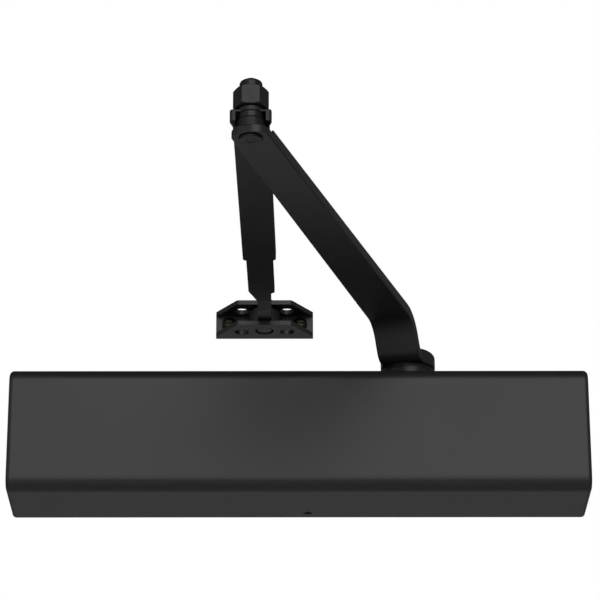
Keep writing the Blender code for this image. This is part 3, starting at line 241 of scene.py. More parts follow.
def soften(piece, width, segments=3, angle=40):
    """Rounds every edge where faces meet at more than angle, in degrees."""
    bevel = piece.modifiers.new("soft_edges", "BEVEL")
    bevel.width = width
    bevel.segments = segments
    bevel.limit_method = "ANGLE"
    bevel.angle_limit = math.radians(angle)
    bake_modifiers(piece)


def hand_over(piece, place, body, node, material):
    """Puts a finished piece in the frame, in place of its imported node, with its material and body."""
    mesh = piece.data
    mesh.transform(place)
    mesh.shade_smooth()
    mesh.set_sharp_from_angle(angle=SHARP)
    piece.modifiers.new("flat_faces_stay_flat", "WEIGHTED_NORMAL").keep_sharp = True
    bake_modifiers(piece)
    piece.data.materials.clear()
    piece.data.materials.append(material)
    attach(piece, body)
    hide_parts(node)
    return piece


PAN_HEAD_RIM = 0.001


def pan_head_screw(node, face, shank, crown, fillets, cross):
    """A screw along Y whose head rests on face, with a cross recess. crown is the flat share of its
    head, fillets are at the rim and the tip, and cross is half the recess's length, half its width,
    and what is left under it."""
    low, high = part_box(node)
    head = (high.x - low.x) / 2
    rim, tip = fillets
    screw = turned(node + "_pan_head", [
        (0, low.y, 0), (head * crown, low.y, 0.002), (head, face - PAN_HEAD_RIM, rim),
        (head, face, 0.0001), (shank, face, 0), (shank, high.y, tip), (0, high.y, 0),
    ], sides=FEW_SIDES, axis="Y")
    long, wide, under = cross
    arms = [
        block("cross", (-across, low.y - BEYOND, -up), (across, face - under, up))
        for across, up in ((long, wide), (wide, long))
    ]
    cut(screw, *arms)
    middle = node_centre(node)
    screw.data.transform(Matrix.Translation((middle.x, 0, middle.z)))
    return screw


# ---- materials
class Graph:
    """A material's node graph, with short ways to add and link nodes."""

    def __init__(self, name):
        self.material = bpy.data.materials.new(name)
        self.material.use_nodes = True
        self.tree = self.material.node_tree
        self.shader = self.tree.nodes["Principled BSDF"]
        self.place = self.add("TexCoord").outputs["Object"]

    def add(self, kind, settings=None, **values):
        """A node of this kind. settings are its unlinked inputs, and values its other properties."""
        node = self.tree.nodes.new("ShaderNode" + kind)
        for key, value in values.items():
            setattr(node, key, value)
        for key, value in (settings or {}).items():
            node.inputs[key].default_value = value
        return node

    def link(self, source, target):
        self.tree.links.new(source, target)

    def noise(self, scale, detail=4.0, roughness=0.55, stretch=None):
        """Noise with about scale bumps in a metre. stretch makes it longer or shorter along the axes."""
        node = self.add("TexNoise", {"Scale": scale, "Detail": detail, "Roughness": roughness})
        source = self.place
        if stretch:
            mapping = self.add("Mapping", {"Scale": stretch})
            self.link(self.place, mapping.inputs["Vector"])
            source = mapping.outputs["Vector"]
        self.link(source, node.inputs["Vector"])
        return node.outputs["Fac"]

    def spread(self, value, low, high, out_low=0.0, out_high=1.0):
        """Maps low..high to out_low..out_high, and clamps."""
        limits = {"From Min": low, "From Max": high, "To Min": out_low, "To Max": out_high}
        node = self.add("MapRange", limits)
        self.link(value, node.inputs["Value"])
        return node.outputs["Result"]

    def calculated(self, operation, first, second):
        node = self.add("Math", operation=operation)
        self.link(first, node.inputs[0])
        self.link(second, node.inputs[1])
        return node.outputs["Value"]

    def mix(self, share, first, second):
        """Blends two colours, each a tuple or a socket."""
        node = self.add("Mix", data_type="RGBA")
        self.link(share, node.inputs["Factor"])
        for socket, value in (("A", first), ("B", second)):
            target = next(item for item in node.inputs if item.name == socket and item.type == "RGBA")
            if isinstance(value, tuple):
                target.default_value = (*value, 1)
            else:
                self.link(value, target)
        return next(item for item in node.outputs if item.type == "RGBA")

    def edges(self, radius, low=0.02, high=0.25):
        """1 along outer edges, 0 on faces."""
        bevel = self.add("Bevel", {"Radius": radius}, samples=6)
        plain = self.add("NewGeometry")
        dot = self.add("VectorMath", operation="DOT_PRODUCT")
        self.link(bevel.outputs["Normal"], dot.inputs[0])
        self.link(plain.outputs["Normal"], dot.inputs[1])
        return self.spread(dot.outputs["Value"], 1 - low, 1 - high)

    def bump(self, *layers):
        """layers are (height, depth in metres)."""
        normal = None
        for height, depth in layers:
            node = self.add("Bump", {"Strength": 1.0, "Distance": depth})
            self.link(height, node.inputs["Height"])
            if normal:
                self.link(normal, node.inputs["Normal"])
            normal = node.outputs["Normal"]
        self.link(normal, self.shader.inputs["Normal"])

    def finish(self, colour, metallic, roughness):
        self.link(colour, self.shader.inputs["Base Color"])
        self.link(roughness, self.shader.inputs["Roughness"])
        self.shader.inputs["Metallic"].default_value = metallic
        return self.material


def shade(colour, factor, lift=0.0):
    """A lighter or darker version of a colour."""
    return tuple(channel * factor + lift for channel in colour)


def satin_paint(name, colour, roughness, grain_depth):
    """Baked satin coat: a fine orange peel, faint clouds, and thin rubbed edges."""
    graph = Graph(name)
    clouds = graph.noise(14, detail=3)
    peel = graph.noise(1100, detail=2)
    wide_peel = graph.noise(260, detail=2)
    specks = graph.noise(2600, detail=1)
    paint = graph.mix(graph.spread(clouds, 0.35, 0.65), shade(colour, 0.94), shade(colour, 1.08))
    rub_noise = graph.spread(graph.noise(420), 0.5, 0.68)
    rubbed = graph.calculated("MULTIPLY", graph.edges(0.0005), rub_noise)
    worn = shade(colour, 2.6, 0.012)
    coat = graph.mix(graph.spread(specks, 0.70, 0.76, 0.0, 0.35), paint, worn)
    graph.bump((wide_peel, grain_depth * 1.6), (peel, grain_depth))
    cloudy = graph.spread(clouds, 0.3, 0.7, roughness - 0.015, roughness + 0.02)
    gloss = graph.calculated("ADD", cloudy, graph.spread(rubbed, 0, 1, 0.0, -0.10))
    return graph.finish(graph.mix(rubbed, coat, worn), 0.0, gloss)


BARE_EDGE = (0.09, 0.09, 0.092)


def blackened_steel(name, colour, turning, dullness=0.0):
    """Black-oxided turned steel: fine rings left by the tool, and edges rubbed towards bare metal."""
    graph = Graph(name)
    mottle = graph.noise(160, detail=5)
    rings = graph.noise(60, detail=2, stretch=(0.4, 0.4, turning))
    pores = graph.noise(1500, detail=3)
    base = graph.mix(graph.spread(mottle, 0.35, 0.65), shade(colour, 0.75), shade(colour, 1.3))
    rubbed = graph.calculated("MULTIPLY", graph.edges(0.0004), graph.spread(graph.noise(600), 0.45, 0.7))
    graph.bump((rings, 0.000006), (pores, 0.000004))
    gloss = graph.spread(mottle, 0.3, 0.7, 0.30 + dullness, 0.44 + dullness)
    roughness = graph.calculated("ADD", gloss, graph.spread(rubbed, 0, 1, 0.0, -0.08))
    return graph.finish(graph.mix(rubbed, base, BARE_EDGE), 0.35 - dullness, roughness)


CAST_DARK = (0.30, 0.31, 0.32)
CAST_LIGHT = (0.46, 0.47, 0.48)
CAST_PIT = (0.12, 0.12, 0.13)
CAST_EDGE = (0.6, 0.61, 0.62)


def cast_aluminium():
    """Sand-like cast skin with faint flow marks and brighter edges."""
    graph = Graph("cast_aluminium")
    skin = graph.noise(700, detail=5, roughness=0.65)
    flow = graph.noise(45, stretch=(0.5, 1, 1.6))
    pits = graph.noise(320, detail=2)
    base = graph.mix(graph.spread(flow, 0.3, 0.7), CAST_DARK, CAST_LIGHT)
    pitted = graph.mix(graph.spread(pits, 0.68, 0.76), base, CAST_PIT)
    graph.bump((flow, 0.00012), (skin, 0.00005), (pits, 0.00003))
    bright = graph.edges(0.0006)
    gloss = graph.spread(skin, 0.3, 0.7, 0.42, 0.62)
    roughness = graph.calculated("ADD", gloss, graph.spread(bright, 0, 1, 0.0, -0.12))
    return graph.finish(graph.mix(bright, pitted, CAST_EDGE), 0.9, roughness)


def machined_steel(name, colour, stretch, roughness):
    """Bare or plated steel with fine tool marks across the stretch's long axes."""
    graph = Graph(name)
    marks = graph.noise(70, detail=3, stretch=stretch)
    stain = graph.noise(120, detail=5)
    scratches = graph.noise(900, detail=2, stretch=(1, 0.15, 1))
    base = graph.mix(graph.spread(stain, 0.35, 0.65), shade(colour, 0.82), colour)
    dull = graph.mix(graph.spread(scratches, 0.62, 0.72, 0.0, 0.5), base, shade(colour, 0.6))
    bright = graph.edges(0.0003)
    graph.bump((marks, 0.000008), (scratches, 0.000003))
    gloss = graph.spread(stain, 0.3, 0.7, roughness - 0.05, roughness + 0.08)
    rough = graph.calculated("ADD", gloss, graph.spread(bright, 0, 1, 0.0, -0.06))
    return graph.finish(graph.mix(bright, dull, shade(colour, 1.25)), 1.0, rough)


RUBBER_DARK = (0.014, 0.014, 0.014)
RUBBER_BLOOM = (0.034, 0.033, 0.032)


def seal_rubber():
    """Black rubber with a faint grey bloom."""
    graph = Graph("seal_rubber")
    bloom = graph.noise(240)
    grain = graph.noise(2200, detail=2)
    base = graph.mix(graph.spread(bloom, 0.4, 0.7), RUBBER_DARK, RUBBER_BLOOM)
    graph.bump((grain, 0.00001), (bloom, 0.00001))
    return graph.finish(base, 0.0, graph.spread(bloom, 0.3, 0.7, 0.62, 0.8))


COVER_PAINT = satin_paint("cover_paint", (0.0192, 0.0198, 0.0206), roughness=0.40, grain_depth=1.6e-6)
ARM_PAINT = satin_paint("arm_paint", (0.0150, 0.0156, 0.0162), roughness=0.41, grain_depth=1.0e-6)
FOREARM_PAINT = satin_paint("forearm_paint", (0.0125, 0.0131, 0.0137), roughness=0.48, grain_depth=1.0e-6)
SHOE_PAINT = satin_paint("shoe_paint", (0.0140, 0.0142, 0.0145), roughness=0.42, grain_depth=2.0e-6)
BLACK_STEEL = blackened_steel("black_steel", (0.018, 0.018, 0.019), turning=40)
DULL_STEEL = blackened_steel("dull_black_steel", (0.013, 0.013, 0.014), turning=40, dullness=0.14)
CAST_BODY = cast_aluminium()
GROUND_STEEL = machined_steel("ground_steel", (0.56, 0.57, 0.58), stretch=(1, 1, 30), roughness=0.26)
PLATED_STEEL = machined_steel("zinc_plate", (0.50, 0.52, 0.55), stretch=(30, 1, 1), roughness=0.32)
SPRING_STEEL = machined_steel("spring_steel", (0.13, 0.12, 0.11), stretch=(8, 8, 8), roughness=0.38)
# Yellow zinc for the shoe screws. Its colour is partly the plating's own and partly painted shade: it is darkened
# for the shade the screws sit in inside the shoe.
ZINC_WITH_PAINTED_SHADE = machined_steel("yellow_zinc_with_painted_shade", (0.042, 0.043, 0.032), stretch=(1, 20, 1), roughness=0.44)
RUBBER = seal_rubber()


# ---- closer body
COVER_WALL = 0.0016
COVER_EDGE = 0.008
COVER_END_EDGE = 0.0026
COVER_RIM = 0.0003
COVER_SCREW_PLACE = node_centre("cover_screw")
COVER_SCREW_HOLE = 0.0024
COLLAR_CLEARANCE = 0.0012
SLOT_STEPS = 40
SET_SCREW_SOCKET_RADIUS = 0.0012
SET_SCREW_SOCKET_DEPTH = 0.0025


def cover_outline(inset, back, steps):
    """The cover's outline, drawn in by inset on three sides, and open at back."""
    low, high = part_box("cover")
    edge = COVER_EDGE - inset
    top = high.z - inset
    bottom = low.z + inset
    front = low.y + inset
    return rounded([(back, bottom, 0), (front, bottom, edge), (front, top, edge), (back, top, 0)], steps)


def build_cover():
    low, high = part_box("cover")
    steps = 8
    turns = [math.pi / 2 * step / steps for step in range(steps + 1)]
    ends = [(COVER_END_EDGE * (1 - math.cos(turn)), COVER_END_EDGE * (1 - math.sin(turn))) for turn in turns]
    places = [(low.x + x, inset) for x, inset in ends] + [(high.x - x, inset) for x, inset in ends[::-1]]
    cover = lofted("cover_shell", [
        [(x, y, z) for y, z in cover_outline(inset, high.y, steps=16)] for x, inset in places
    ])
    behind = high.y + 2 * BEYOND
    inner = cover_outline(COVER_WALL, behind, steps=10)
    hollow = extruded("hollow", inner, low.x + COVER_WALL, high.x - COVER_WALL, along="X")
    collar_low, collar_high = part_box("bearing_cap_top")
    radius = (collar_high.x - collar_low.x) / 2 + COLLAR_CLEARANCE
    arc = [math.pi + math.pi * step / SLOT_STEPS for step in range(SLOT_STEPS + 1)]
    slot = [(PINION.x + radius * math.cos(turn), PINION.y + radius * math.sin(turn)) for turn in arc]
    slot += [(PINION.x + radius, behind), (PINION.x - radius, behind)]
    slot_cutter = extruded("slot", slot, high.z - COVER_WALL - 2 * BEYOND, high.z + 2 * BEYOND)
    hole_place = (COVER_SCREW_PLACE.x, COVER_SCREW_PLACE.y, 0)
    hole = drill(COVER_SCREW_HOLE, low.z - BEYOND, low.z + COVER_WALL + BEYOND, centre=hole_place)
    cut(cover, hollow, slot_cutter, hole)
    soften(cover, COVER_RIM, segments=2, angle=60)
    hand_over(cover, Matrix(), "closer_body", "cover", COVER_PAINT)


def build_cover_screw():
    low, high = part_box("cover_screw")
    radius = (high.x - low.x) / 2
    screw = turned("cover_set_screw", rod_corners(radius, low.z, high.z, 0.0003), sides=FEW_SIDES)
    hexagon = polygon(6, SET_SCREW_SOCKET_RADIUS)
    cut(screw, extruded("socket", hexagon, low.z - BEYOND, low.z + SET_SCREW_SOCKET_DEPTH))
    place = Matrix.Translation((COVER_SCREW_PLACE.x, COVER_SCREW_PLACE.y, 0))
    hand_over(screw, place, "closer_body", "cover_screw", BLACK_STEEL)


CAP_BORE = 0.0073
CAP_SEAT = 0.010
CAP_BODY = 0.0122
UPPER_FLANGE_LOW = 0.0335
UPPER_SEAT_DEPTH = 0.0104
COLLAR_SHOULDER = 0.0030
COLLAR_TAPER = 0.0007
LOWER_FLANGE = 0.0033
LOWER_SEAT_DEPTH = 0.0048
LOWER_CAP_FLOOR = 0.0045
PIN_HOLES = 4
PIN_HOLE_TURN = 0.4
PIN_HOLE_RADIUS = 0.0013
PIN_HOLE_DEPTH = 0.0018
PIN_HOLE_PLACE = 0.0105  # from the pinion's axis


def build_bearing_caps():
    low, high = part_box("bearing_cap_top")
    collar = (high.x - low.x) / 2
    flange_low = UPPER_FLANGE_LOW
    seat_floor = flange_low - UPPER_SEAT_DEPTH
    cap = turned("pinion_collar", [
        (CAP_BORE, seat_floor, 0), (CAP_SEAT, seat_floor, 0), (CAP_SEAT, low.z, 0),
        (CAP_BODY, low.z, 0.0004), (CAP_BODY, flange_low, 0), (collar, flange_low, 0.0003),
        (collar, high.z - COLLAR_SHOULDER, 0.004), (collar - COLLAR_TAPER, high.z, 0.0009),
        (CAP_BORE, high.z, 0.0003),
    ])
    hand_over(cap, PINION_FRAME, "closer_body", "bearing_cap_top", BLACK_STEEL)
    low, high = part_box("bearing_cap_bottom")
    flange = (high.x - low.x) / 2
    flange_high = low.z + LOWER_FLANGE
    seat_floor = high.z - LOWER_SEAT_DEPTH
    bore_floor = low.z + LOWER_CAP_FLOOR
    cap = turned("lower_bearing_cap", [
        (0, low.z, 0), (flange, low.z, 0.0006), (flange, flange_high, 0.0002), (CAP_BODY, flange_high, 0),
        (CAP_BODY, high.z, 0.0003), (CAP_SEAT, high.z, 0), (CAP_SEAT, seat_floor, 0),
        (CAP_BORE, seat_floor, 0), (CAP_BORE, bore_floor, 0), (0, bore_floor, 0),
    ])
    hole_top = low.z + PIN_HOLE_DEPTH
    for place in polygon(PIN_HOLES, PIN_HOLE_PLACE, PIN_HOLE_TURN):
        cut(cap, drill(PIN_HOLE_RADIUS, low.z - BEYOND, hole_top, centre=(*place, 0), sides=24))
    hand_over(cap, PINION_FRAME, "closer_body", "bearing_cap_bottom", BLACK_STEEL)


# ---- casting and what is screwed into it
TUBE_RADIUS = 0.021
BORE_RADIUS = 0.0175
PAD_THICKNESS = 0.012
PAD_HALF_HEIGHT = 0.018
LUG_LENGTH = 0.019
LUG_THICKNESS = 0.0055
LUG_HOLE_RADIUS = 0.0033
TOWER_RADIUS = 0.0175
TOWER_BORE = 0.0125
LUG_CORNER = 0.004
LUG_RISE = 0.0004  # above and below the pad
PAD_INSET = 0.0007
PAD_LOWERED = 0.0005
CASTING_EDGE = 0.0007
RIB_LEFT = 0.084
RIB_BOTTOM = -0.031
RIB_TOP = -0.010
RIB_FRONT = -0.040
RIB_BACK = -0.012
RIB_DRAFT = 0.0005
RIB_INSET = 0.0004
BLOCK_BOTTOM = -0.0335
BLOCK_TOP = -0.0165
BLOCK_FRONT = -0.0145
BLOCK_BACK = -0.0012
BLOCK_HALF_WIDTH = 0.006
VALVE_CLEARANCE = 0.0033
MOUNTING_SCREW_CROSS = (0.0030, 0.0006, 0.0014)
MOUNTING_SCREWS = ("mounting_screw_1", "mounting_screw_2", "mounting_screw_3", "mounting_screw_4")


def build_housing():
    """The casting: cylinder, pinion tower, pad, mounting lugs, and ribs for the valves and cover screw."""
    low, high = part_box("housing")
    tube_low = low.x + LUG_LENGTH
    tube_high = high.x - LUG_LENGTH
    tower_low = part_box("bearing_cap_bottom")[0].z + LOWER_FLANGE + GAP
    tower_high = UPPER_FLANGE_LOW - GAP
    axis = (0, CYLINDER_Y, 0)
    tube = rod_corners(TUBE_RADIUS, tube_low, tube_high, 0.0015)
    housing = turned("closer_casting", tube, axis="X", centre=axis)
    pad = block(
        "pad", (tube_low + PAD_INSET, -PAD_THICKNESS, -PAD_HALF_HEIGHT),
        (tube_high - PAD_INSET, -PAD_INSET, PAD_HALF_HEIGHT - PAD_LOWERED),
    )
    lug_half = PAD_HALF_HEIGHT + LUG_RISE
    corner = LUG_CORNER
    lug_outline = rounded([
        (low.x, -lug_half, corner), (high.x, -lug_half, corner),
        (high.x, lug_half, corner), (low.x, lug_half, corner),
    ], steps=8)
    lugs = extruded("lugs", lug_outline, -LUG_THICKNESS, 0, along="Y")
    pinion_place = (PINION.x, PINION.y, 0)
    tower = turned("tower", rod_corners(TOWER_RADIUS, tower_low, tower_high, 0.001), centre=pinion_place)
    rib_outline = rounded([
        (RIB_FRONT, RIB_BOTTOM, corner), (RIB_BACK, RIB_BOTTOM, corner),
        (RIB_BACK + RIB_DRAFT, RIB_TOP, 0), (RIB_FRONT + RIB_DRAFT, RIB_TOP, 0),
    ])
    rib = extruded("rib", rib_outline, RIB_LEFT, tube_high - RIB_INSET, along="X")
    screw_x = COVER_SCREW_PLACE.x
    screw_block = block(
        "screw_block", (screw_x - BLOCK_HALF_WIDTH, BLOCK_FRONT, BLOCK_BOTTOM),
        (screw_x + BLOCK_HALF_WIDTH, BLOCK_BACK, BLOCK_TOP),
    )
    join(housing, pad, lugs, tower, rib, screw_block)
    soften(housing, CASTING_EDGE, segments=2, angle=50)

    bore = drill(BORE_RADIUS, tube_low - BEYOND, tube_high + BEYOND, "X", axis, MANY_SIDES)
    half_side = math.pi / MANY_SIDES / 2
    tower_bore = drill(
        TOWER_BORE, tower_low - BEYOND, tower_high + BEYOND, "Z", pinion_place, MANY_SIDES, half_side
    )
    join(bore, tower_bore)
    screw_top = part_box("cover_screw")[1].z + GAP
    screw_place = (screw_x, COVER_SCREW_PLACE.y, 0)
    holes = [drill(COVER_SCREW_HOLE, BLOCK_BOTTOM - BEYOND, screw_top, centre=screw_place)]
    for node in MOUNTING_SCREWS:
        place = node_centre(node)
        holes.append(drill(LUG_HOLE_RADIUS, -LUG_THICKNESS - BEYOND, BEYOND, "Y", (place.x, 0, place.z)))
    for node in ("sweep_valve", "latch_valve"):
        place = node_centre(node)
        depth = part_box(node)[0].x - GAP
        holes.append(drill(VALVE_CLEARANCE, depth, tube_high + BEYOND, "X", (0, place.y, place.z)))
    place = node_centre("backcheck_valve")
    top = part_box("backcheck_valve")[1].z + GAP
    holes.append(drill(VALVE_CLEARANCE, RIB_BOTTOM - BEYOND, top, centre=(place.x, place.y, 0)))
    cut(housing, bore, *holes)
    hand_over(housing, Matrix(), "closer_body", "housing", CAST_BODY)


def build_mounting_screws():
    face = -LUG_THICKNESS - GAP
    shank = LUG_HOLE_RADIUS - GAP
    for node in MOUNTING_SCREWS:
        screw = pan_head_screw(node, face, shank, 0.62, (0.0009, 0.0003), MOUNTING_SCREW_CROSS)
        hand_over(screw, Matrix(), "closer_body", node, PLATED_STEEL)


SPRING_WIRE_RADIUS = 0.00225
SPRING_TURNS = 9
SPRING_TURNS_AT_SEAT = 3
SPRING_STEPS_PER_TURN = 40
SPRING_CLOSED_GAP = 0.0004


def build_coil(name, points):
    """One length of spring wire along a row of points, as a mesh with closed ends."""
    curve = bpy.data.curves.new(name, "CURVE")
    curve.dimensions = "3D"
    curve.bevel_depth = SPRING_WIRE_RADIUS
    curve.bevel_resolution = 3
    curve.use_fill_caps = True
    spline = curve.splines.new("POLY")
    spline.points.add(len(points) - 1)
    for point, place in zip(spline.points, points):
        point.co = (*place, 1)
    helper = in_scene("spring_curve", curve)
    graph = bpy.context.evaluated_depsgraph_get()
    mesh = bpy.data.meshes.new_from_object(helper.evaluated_get(graph))
    bpy.data.objects.remove(helper)
    coil = in_scene(name, mesh)
    return hand_over(coil, Matrix(), "closer_body", "main_spring", SPRING_STEEL)


def build_spring():
    """Closing spring with a closed coil at each end, made as two lengths of wire: the turns at the seat, and the
    others. In the closer, the turns at the seat shorten when the adjuster moves the seat, and the others shorten
    when the pinion turns and the piston comes back."""
    low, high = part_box("main_spring")
    wire = SPRING_WIRE_RADIUS
    radius = (high.z - low.z) / 2 - wire
    closed_pitch = 2 * wire + SPRING_CLOSED_GAP
    middle_rise = high.x - low.x - 2 * wire - 2 * closed_pitch
    middle_turns = SPRING_TURNS - 2
    points = []
    for index in range(SPRING_TURNS * SPRING_STEPS_PER_TURN + 1):
        turned_by = index / SPRING_STEPS_PER_TURN
        open_turns = min(max(turned_by - 1, 0), middle_turns)
        closed_turns = turned_by - open_turns
        along = low.x + wire + closed_turns * closed_pitch + middle_rise * open_turns / middle_turns
        angle = math.tau * turned_by
        points.append((along, CYLINDER_Y + radius * math.cos(angle), radius * math.sin(angle)))
    split = SPRING_TURNS_AT_SEAT * SPRING_STEPS_PER_TURN
    free = build_coil("closing_spring", points[split:])
    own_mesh(free)
    held = build_coil("closing_spring_seat_end", points[:split + 1])
    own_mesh(held)


PLUG_FLANGE = 0.004
PLUG_LENGTH = 0.011
PLUG_HEX_RADIUS = 0.0185
PLUG_DISH_RADIUS = 0.0095
PLUG_DISH_DEPTH = 0.0012
PLUG_CHAMFER = 0.0014
PLUG_FACE_RADIUS = 0.016095
ADJUSTER_RADIUS = 0.004
GROOVE_DEPTH = 0.0026
GROOVE_HALF_WIDTH = 0.00145
GROOVE_PLACE = 0.007  # from the housing's end
VALVE_NEEDLE_RADIUS = 0.0012
VALVE_NEEDLE_LENGTH = 0.003
VALVE_SLOT_DEPTH = 0.0014
VALVE_SLOT_HALF_WIDTH = 0.0005


def build_end_plugs():
    """Hexagon-headed plugs, each with a groove for its seal."""
    outer = BORE_RADIUS - GAP
    root = outer - GROOVE_DEPTH
    axis = (0, CYLINDER_Y, 0)
    for node, name, inward in (
        ("spring_end_plug", "spring_side_plug", 1), ("valve_end_plug", "valve_side_plug", -1)
    ):
        low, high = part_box(node)
        face, tip = (low.x, high.x) if inward > 0 else (high.x, low.x)
        flange = face + inward * PLUG_FLANGE
        groove = tip - inward * (PLUG_LENGTH - GROOVE_PLACE)
        start = flange - inward * 3 * OVERLAP
        near = groove - inward * GROOVE_HALF_WIDTH
        far = groove + inward * GROOVE_HALF_WIDTH
        plug = turned(name, [
            (0, start, 0), (outer, start, 0), (outer, near, 0.0002),
            (root, near, 0.0002), (root, far, 0.0002), (outer, far, 0.0002), (outer, tip, 0.0008),
            (0, tip, 0),
        ], axis="X", centre=axis)
        hexagon = polygon(6, PLUG_HEX_RADIUS, math.pi / 6, (CYLINDER_Y, 0))
        head = extruded("head", hexagon, min(face, flange), max(face, flange), along="X")
        wide = PLUG_HEX_RADIUS + OUTSIDE
        back = flange + inward * OVERLAP
        chamfer = turned("chamfer", [
            (0, face, 0), (PLUG_FACE_RADIUS, face, 0.0004), (wide, face + inward * PLUG_CHAMFER, 0),
            (wide, back, 0), (0, back, 0),
        ], axis="X", centre=axis)
        combine(head, [chamfer], "INTERSECT")
        soften(head, 0.0003, segments=2)
        join(plug, head)
        if inward > 0:
            cut(plug, drill(ADJUSTER_RADIUS + GAP, face - BEYOND, tip + BEYOND, "X", axis))
        else:
            cut(plug, drill(PLUG_DISH_RADIUS, face - PLUG_DISH_DEPTH, face + BEYOND, "X", axis))
        hand_over(plug, Matrix(), "closer_body", node, PLATED_STEEL)


def build_valves():
    """Slotted needle screws: two in the valve end, one under the cylinder."""
    for node, axis in (("sweep_valve", "X"), ("latch_valve", "X"), ("backcheck_valve", "Z")):
        low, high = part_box(node)
        middle = node_centre(node)
        radius = (high.y - low.y) / 2
        head, tip, inward = (high.x, low.x, -1) if axis == "X" else (low.z, high.z, 1)
        corners = [
            (0, head, 0), (radius, head, 0.0005), (radius, tip - inward * VALVE_NEEDLE_LENGTH, 0.0003),
            (VALVE_NEEDLE_RADIUS, tip, 0.0003), (0, tip, 0),
        ]
        place = (0, middle.y, middle.z) if axis == "X" else (middle.x, middle.y, 0)
        valve = turned(node + "_needle", corners, sides=FEW_SIDES, axis=axis, centre=place)
        ends = sorted((head - inward * BEYOND, head + inward * VALVE_SLOT_DEPTH))
        long = radius + BEYOND
        wide = VALVE_SLOT_HALF_WIDTH
        if axis == "X":
            slot = block("slot", (ends[0], -wide, -long), (ends[1], wide, long))
        else:
            slot = block("slot", (-long, -wide, ends[0]), (long, wide, ends[1]))
        slot.data.transform(Matrix.Translation(place))
        cut(valve, slot)
        hand_over(valve, Matrix(), node, node, PLATED_STEEL)


# ---- main arm and elbow
HUB_RADIUS = 0.0154
HUB_HEIGHT = 0.0093
ARM_THICKNESS = 0.0066
ARM_WIDTH_ELBOW = 0.0192
ARM_WIDTH_HUB = 0.0243
ARM_REACH = 0.0072
ARM_END_RADIUS = 0.0078
ARM_EDGE = 0.0011
ARM_LIFT = 0.0001  # of the arm's underside above the hub's, so that the two don't share a face
ARM_RIM = 0.0006
ARM_STEP_HEIGHT = 0.0038
ARM_STEP_RADIUS = 0.0115
CRANK_START = 0.0170
CRANK_END = 0.0284
CRANK_LOW_RADIUS = 0.006
CRANK_HIGH_RADIUS = 0.020
CRANK_STEPS = 12
STRAIGHT_STEPS = 8
WASHER_HOLE = 0.0034
ARM_SCREW_RADIUS = 0.0031
ARM_SCREW_SOCKET = 0.0029
STUD_RADIUS = 0.004
STUD_HEAD_RADIUS = 0.006
STUD_DIMPLE_RADIUS = 0.0018
STUD_DIMPLE_DEPTH = 0.0004
STUD_DIMPLE_SLOPE = 0.0006
STUD_TIP_HEIGHT = 0.0012
STUD_TIP_TAPER = 0.0013
NUT_CORNER_RADIUS = 0.0089
NUT_FACE_RADIUS = 0.0074
NUT_CHAMFER = 0.0009
NUT_HEIGHT = 0.0105
NUT_TURN = math.radians(-12)
NUT_COLLAR_RADIUS = 0.0057
SQUARE_SIDE = 0.0116


def crank_path(low, high):
    """Centre line of the main arm, as (distance from the pinion, height, slope) stations."""
    slope = math.atan2(high - low, CRANK_END - CRANK_START)
    stations = [(0.0, low, 0.0)]
    tangent = CRANK_LOW_RADIUS * math.tan(slope / 2)
    for step in range(CRANK_STEPS + 1):
        turn = slope * step / CRANK_STEPS
        along = CRANK_START - tangent + CRANK_LOW_RADIUS * math.sin(turn)
        stations.append((along, low + CRANK_LOW_RADIUS * (1 - math.cos(turn)), turn))
    tangent = CRANK_HIGH_RADIUS * math.tan(slope / 2)
    for step in range(CRANK_STEPS + 1):
        turn = slope * (1 - step / CRANK_STEPS)
        along = CRANK_END + tangent - CRANK_HIGH_RADIUS * math.sin(turn)
        stations.append((along, high - CRANK_HIGH_RADIUS * (1 - math.cos(turn)), turn))
    start = stations[-1][0]
    for step in range(1, STRAIGHT_STEPS + 1):
        along = start + (ARM_LENGTH + ARM_REACH - start) * step / STRAIGHT_STEPS
        stations.append((along, high, 0.0))
    return stations


def build_main_arm():
    low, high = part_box("main_arm")
    hub_top = low.z + HUB_HEIGHT
    top = high.z
    underside = top - ARM_THICKNESS
    thick = ARM_THICKNESS / 2
    sections = []
    for along, height, slope in crank_path(low.z + thick + ARM_LIFT, top - thick):
        half = (ARM_WIDTH_HUB + (ARM_WIDTH_ELBOW - ARM_WIDTH_HUB) * along / ARM_LENGTH) / 2
        outline = rounded([
            (-half, -thick, ARM_EDGE), (half, -thick, ARM_EDGE),
            (half, thick, ARM_EDGE), (-half, thick, ARM_EDGE),
        ], steps=5)
        sections.append([
            (along - up * math.sin(slope), side, height + up * math.cos(slope)) for side, up in outline
        ])
    arm = lofted("arm_forging", sections)
    hub = turned("hub", [
        (0, low.z, 0), (HUB_RADIUS, low.z, 0.0009), (HUB_RADIUS, hub_top, 0.0028), (0, hub_top, 0),
    ], steps=6)
    end = ARM_LENGTH + ARM_REACH
    half_end = ARM_WIDTH_ELBOW / 2
    behind = HUB_RADIUS + BEYOND
    plan = rounded([
        (-behind, -behind, 0), (end, -half_end, ARM_END_RADIUS), (end, half_end, ARM_END_RADIUS),
        (-behind, behind, 0),
    ], steps=12)
    combine(arm, [extruded("plan", plan, low.z - BEYOND, top + BEYOND)], "INTERSECT")
    elbow = (ARM_LENGTH, 0, 0)
    step_low = underside + ARM_STEP_HEIGHT
    cut(arm, turned("step", rod_corners(ARM_STEP_RADIUS, step_low, top + BEYOND, 0), centre=elbow))
    soften(arm, ARM_RIM, angle=50)
    join(arm, hub)
    half = SQUARE_SIDE / 2 + GAP
    square = block("square", (-half, -half, low.z - BEYOND), (half, half, hub_top + BEYOND))
    cut(arm, square, drill(STUD_RADIUS + GAP, underside - BEYOND, top + BEYOND, centre=elbow))
    hand_over(arm, ARM_FRAME, "main_arm", "main_arm", ARM_PAINT)


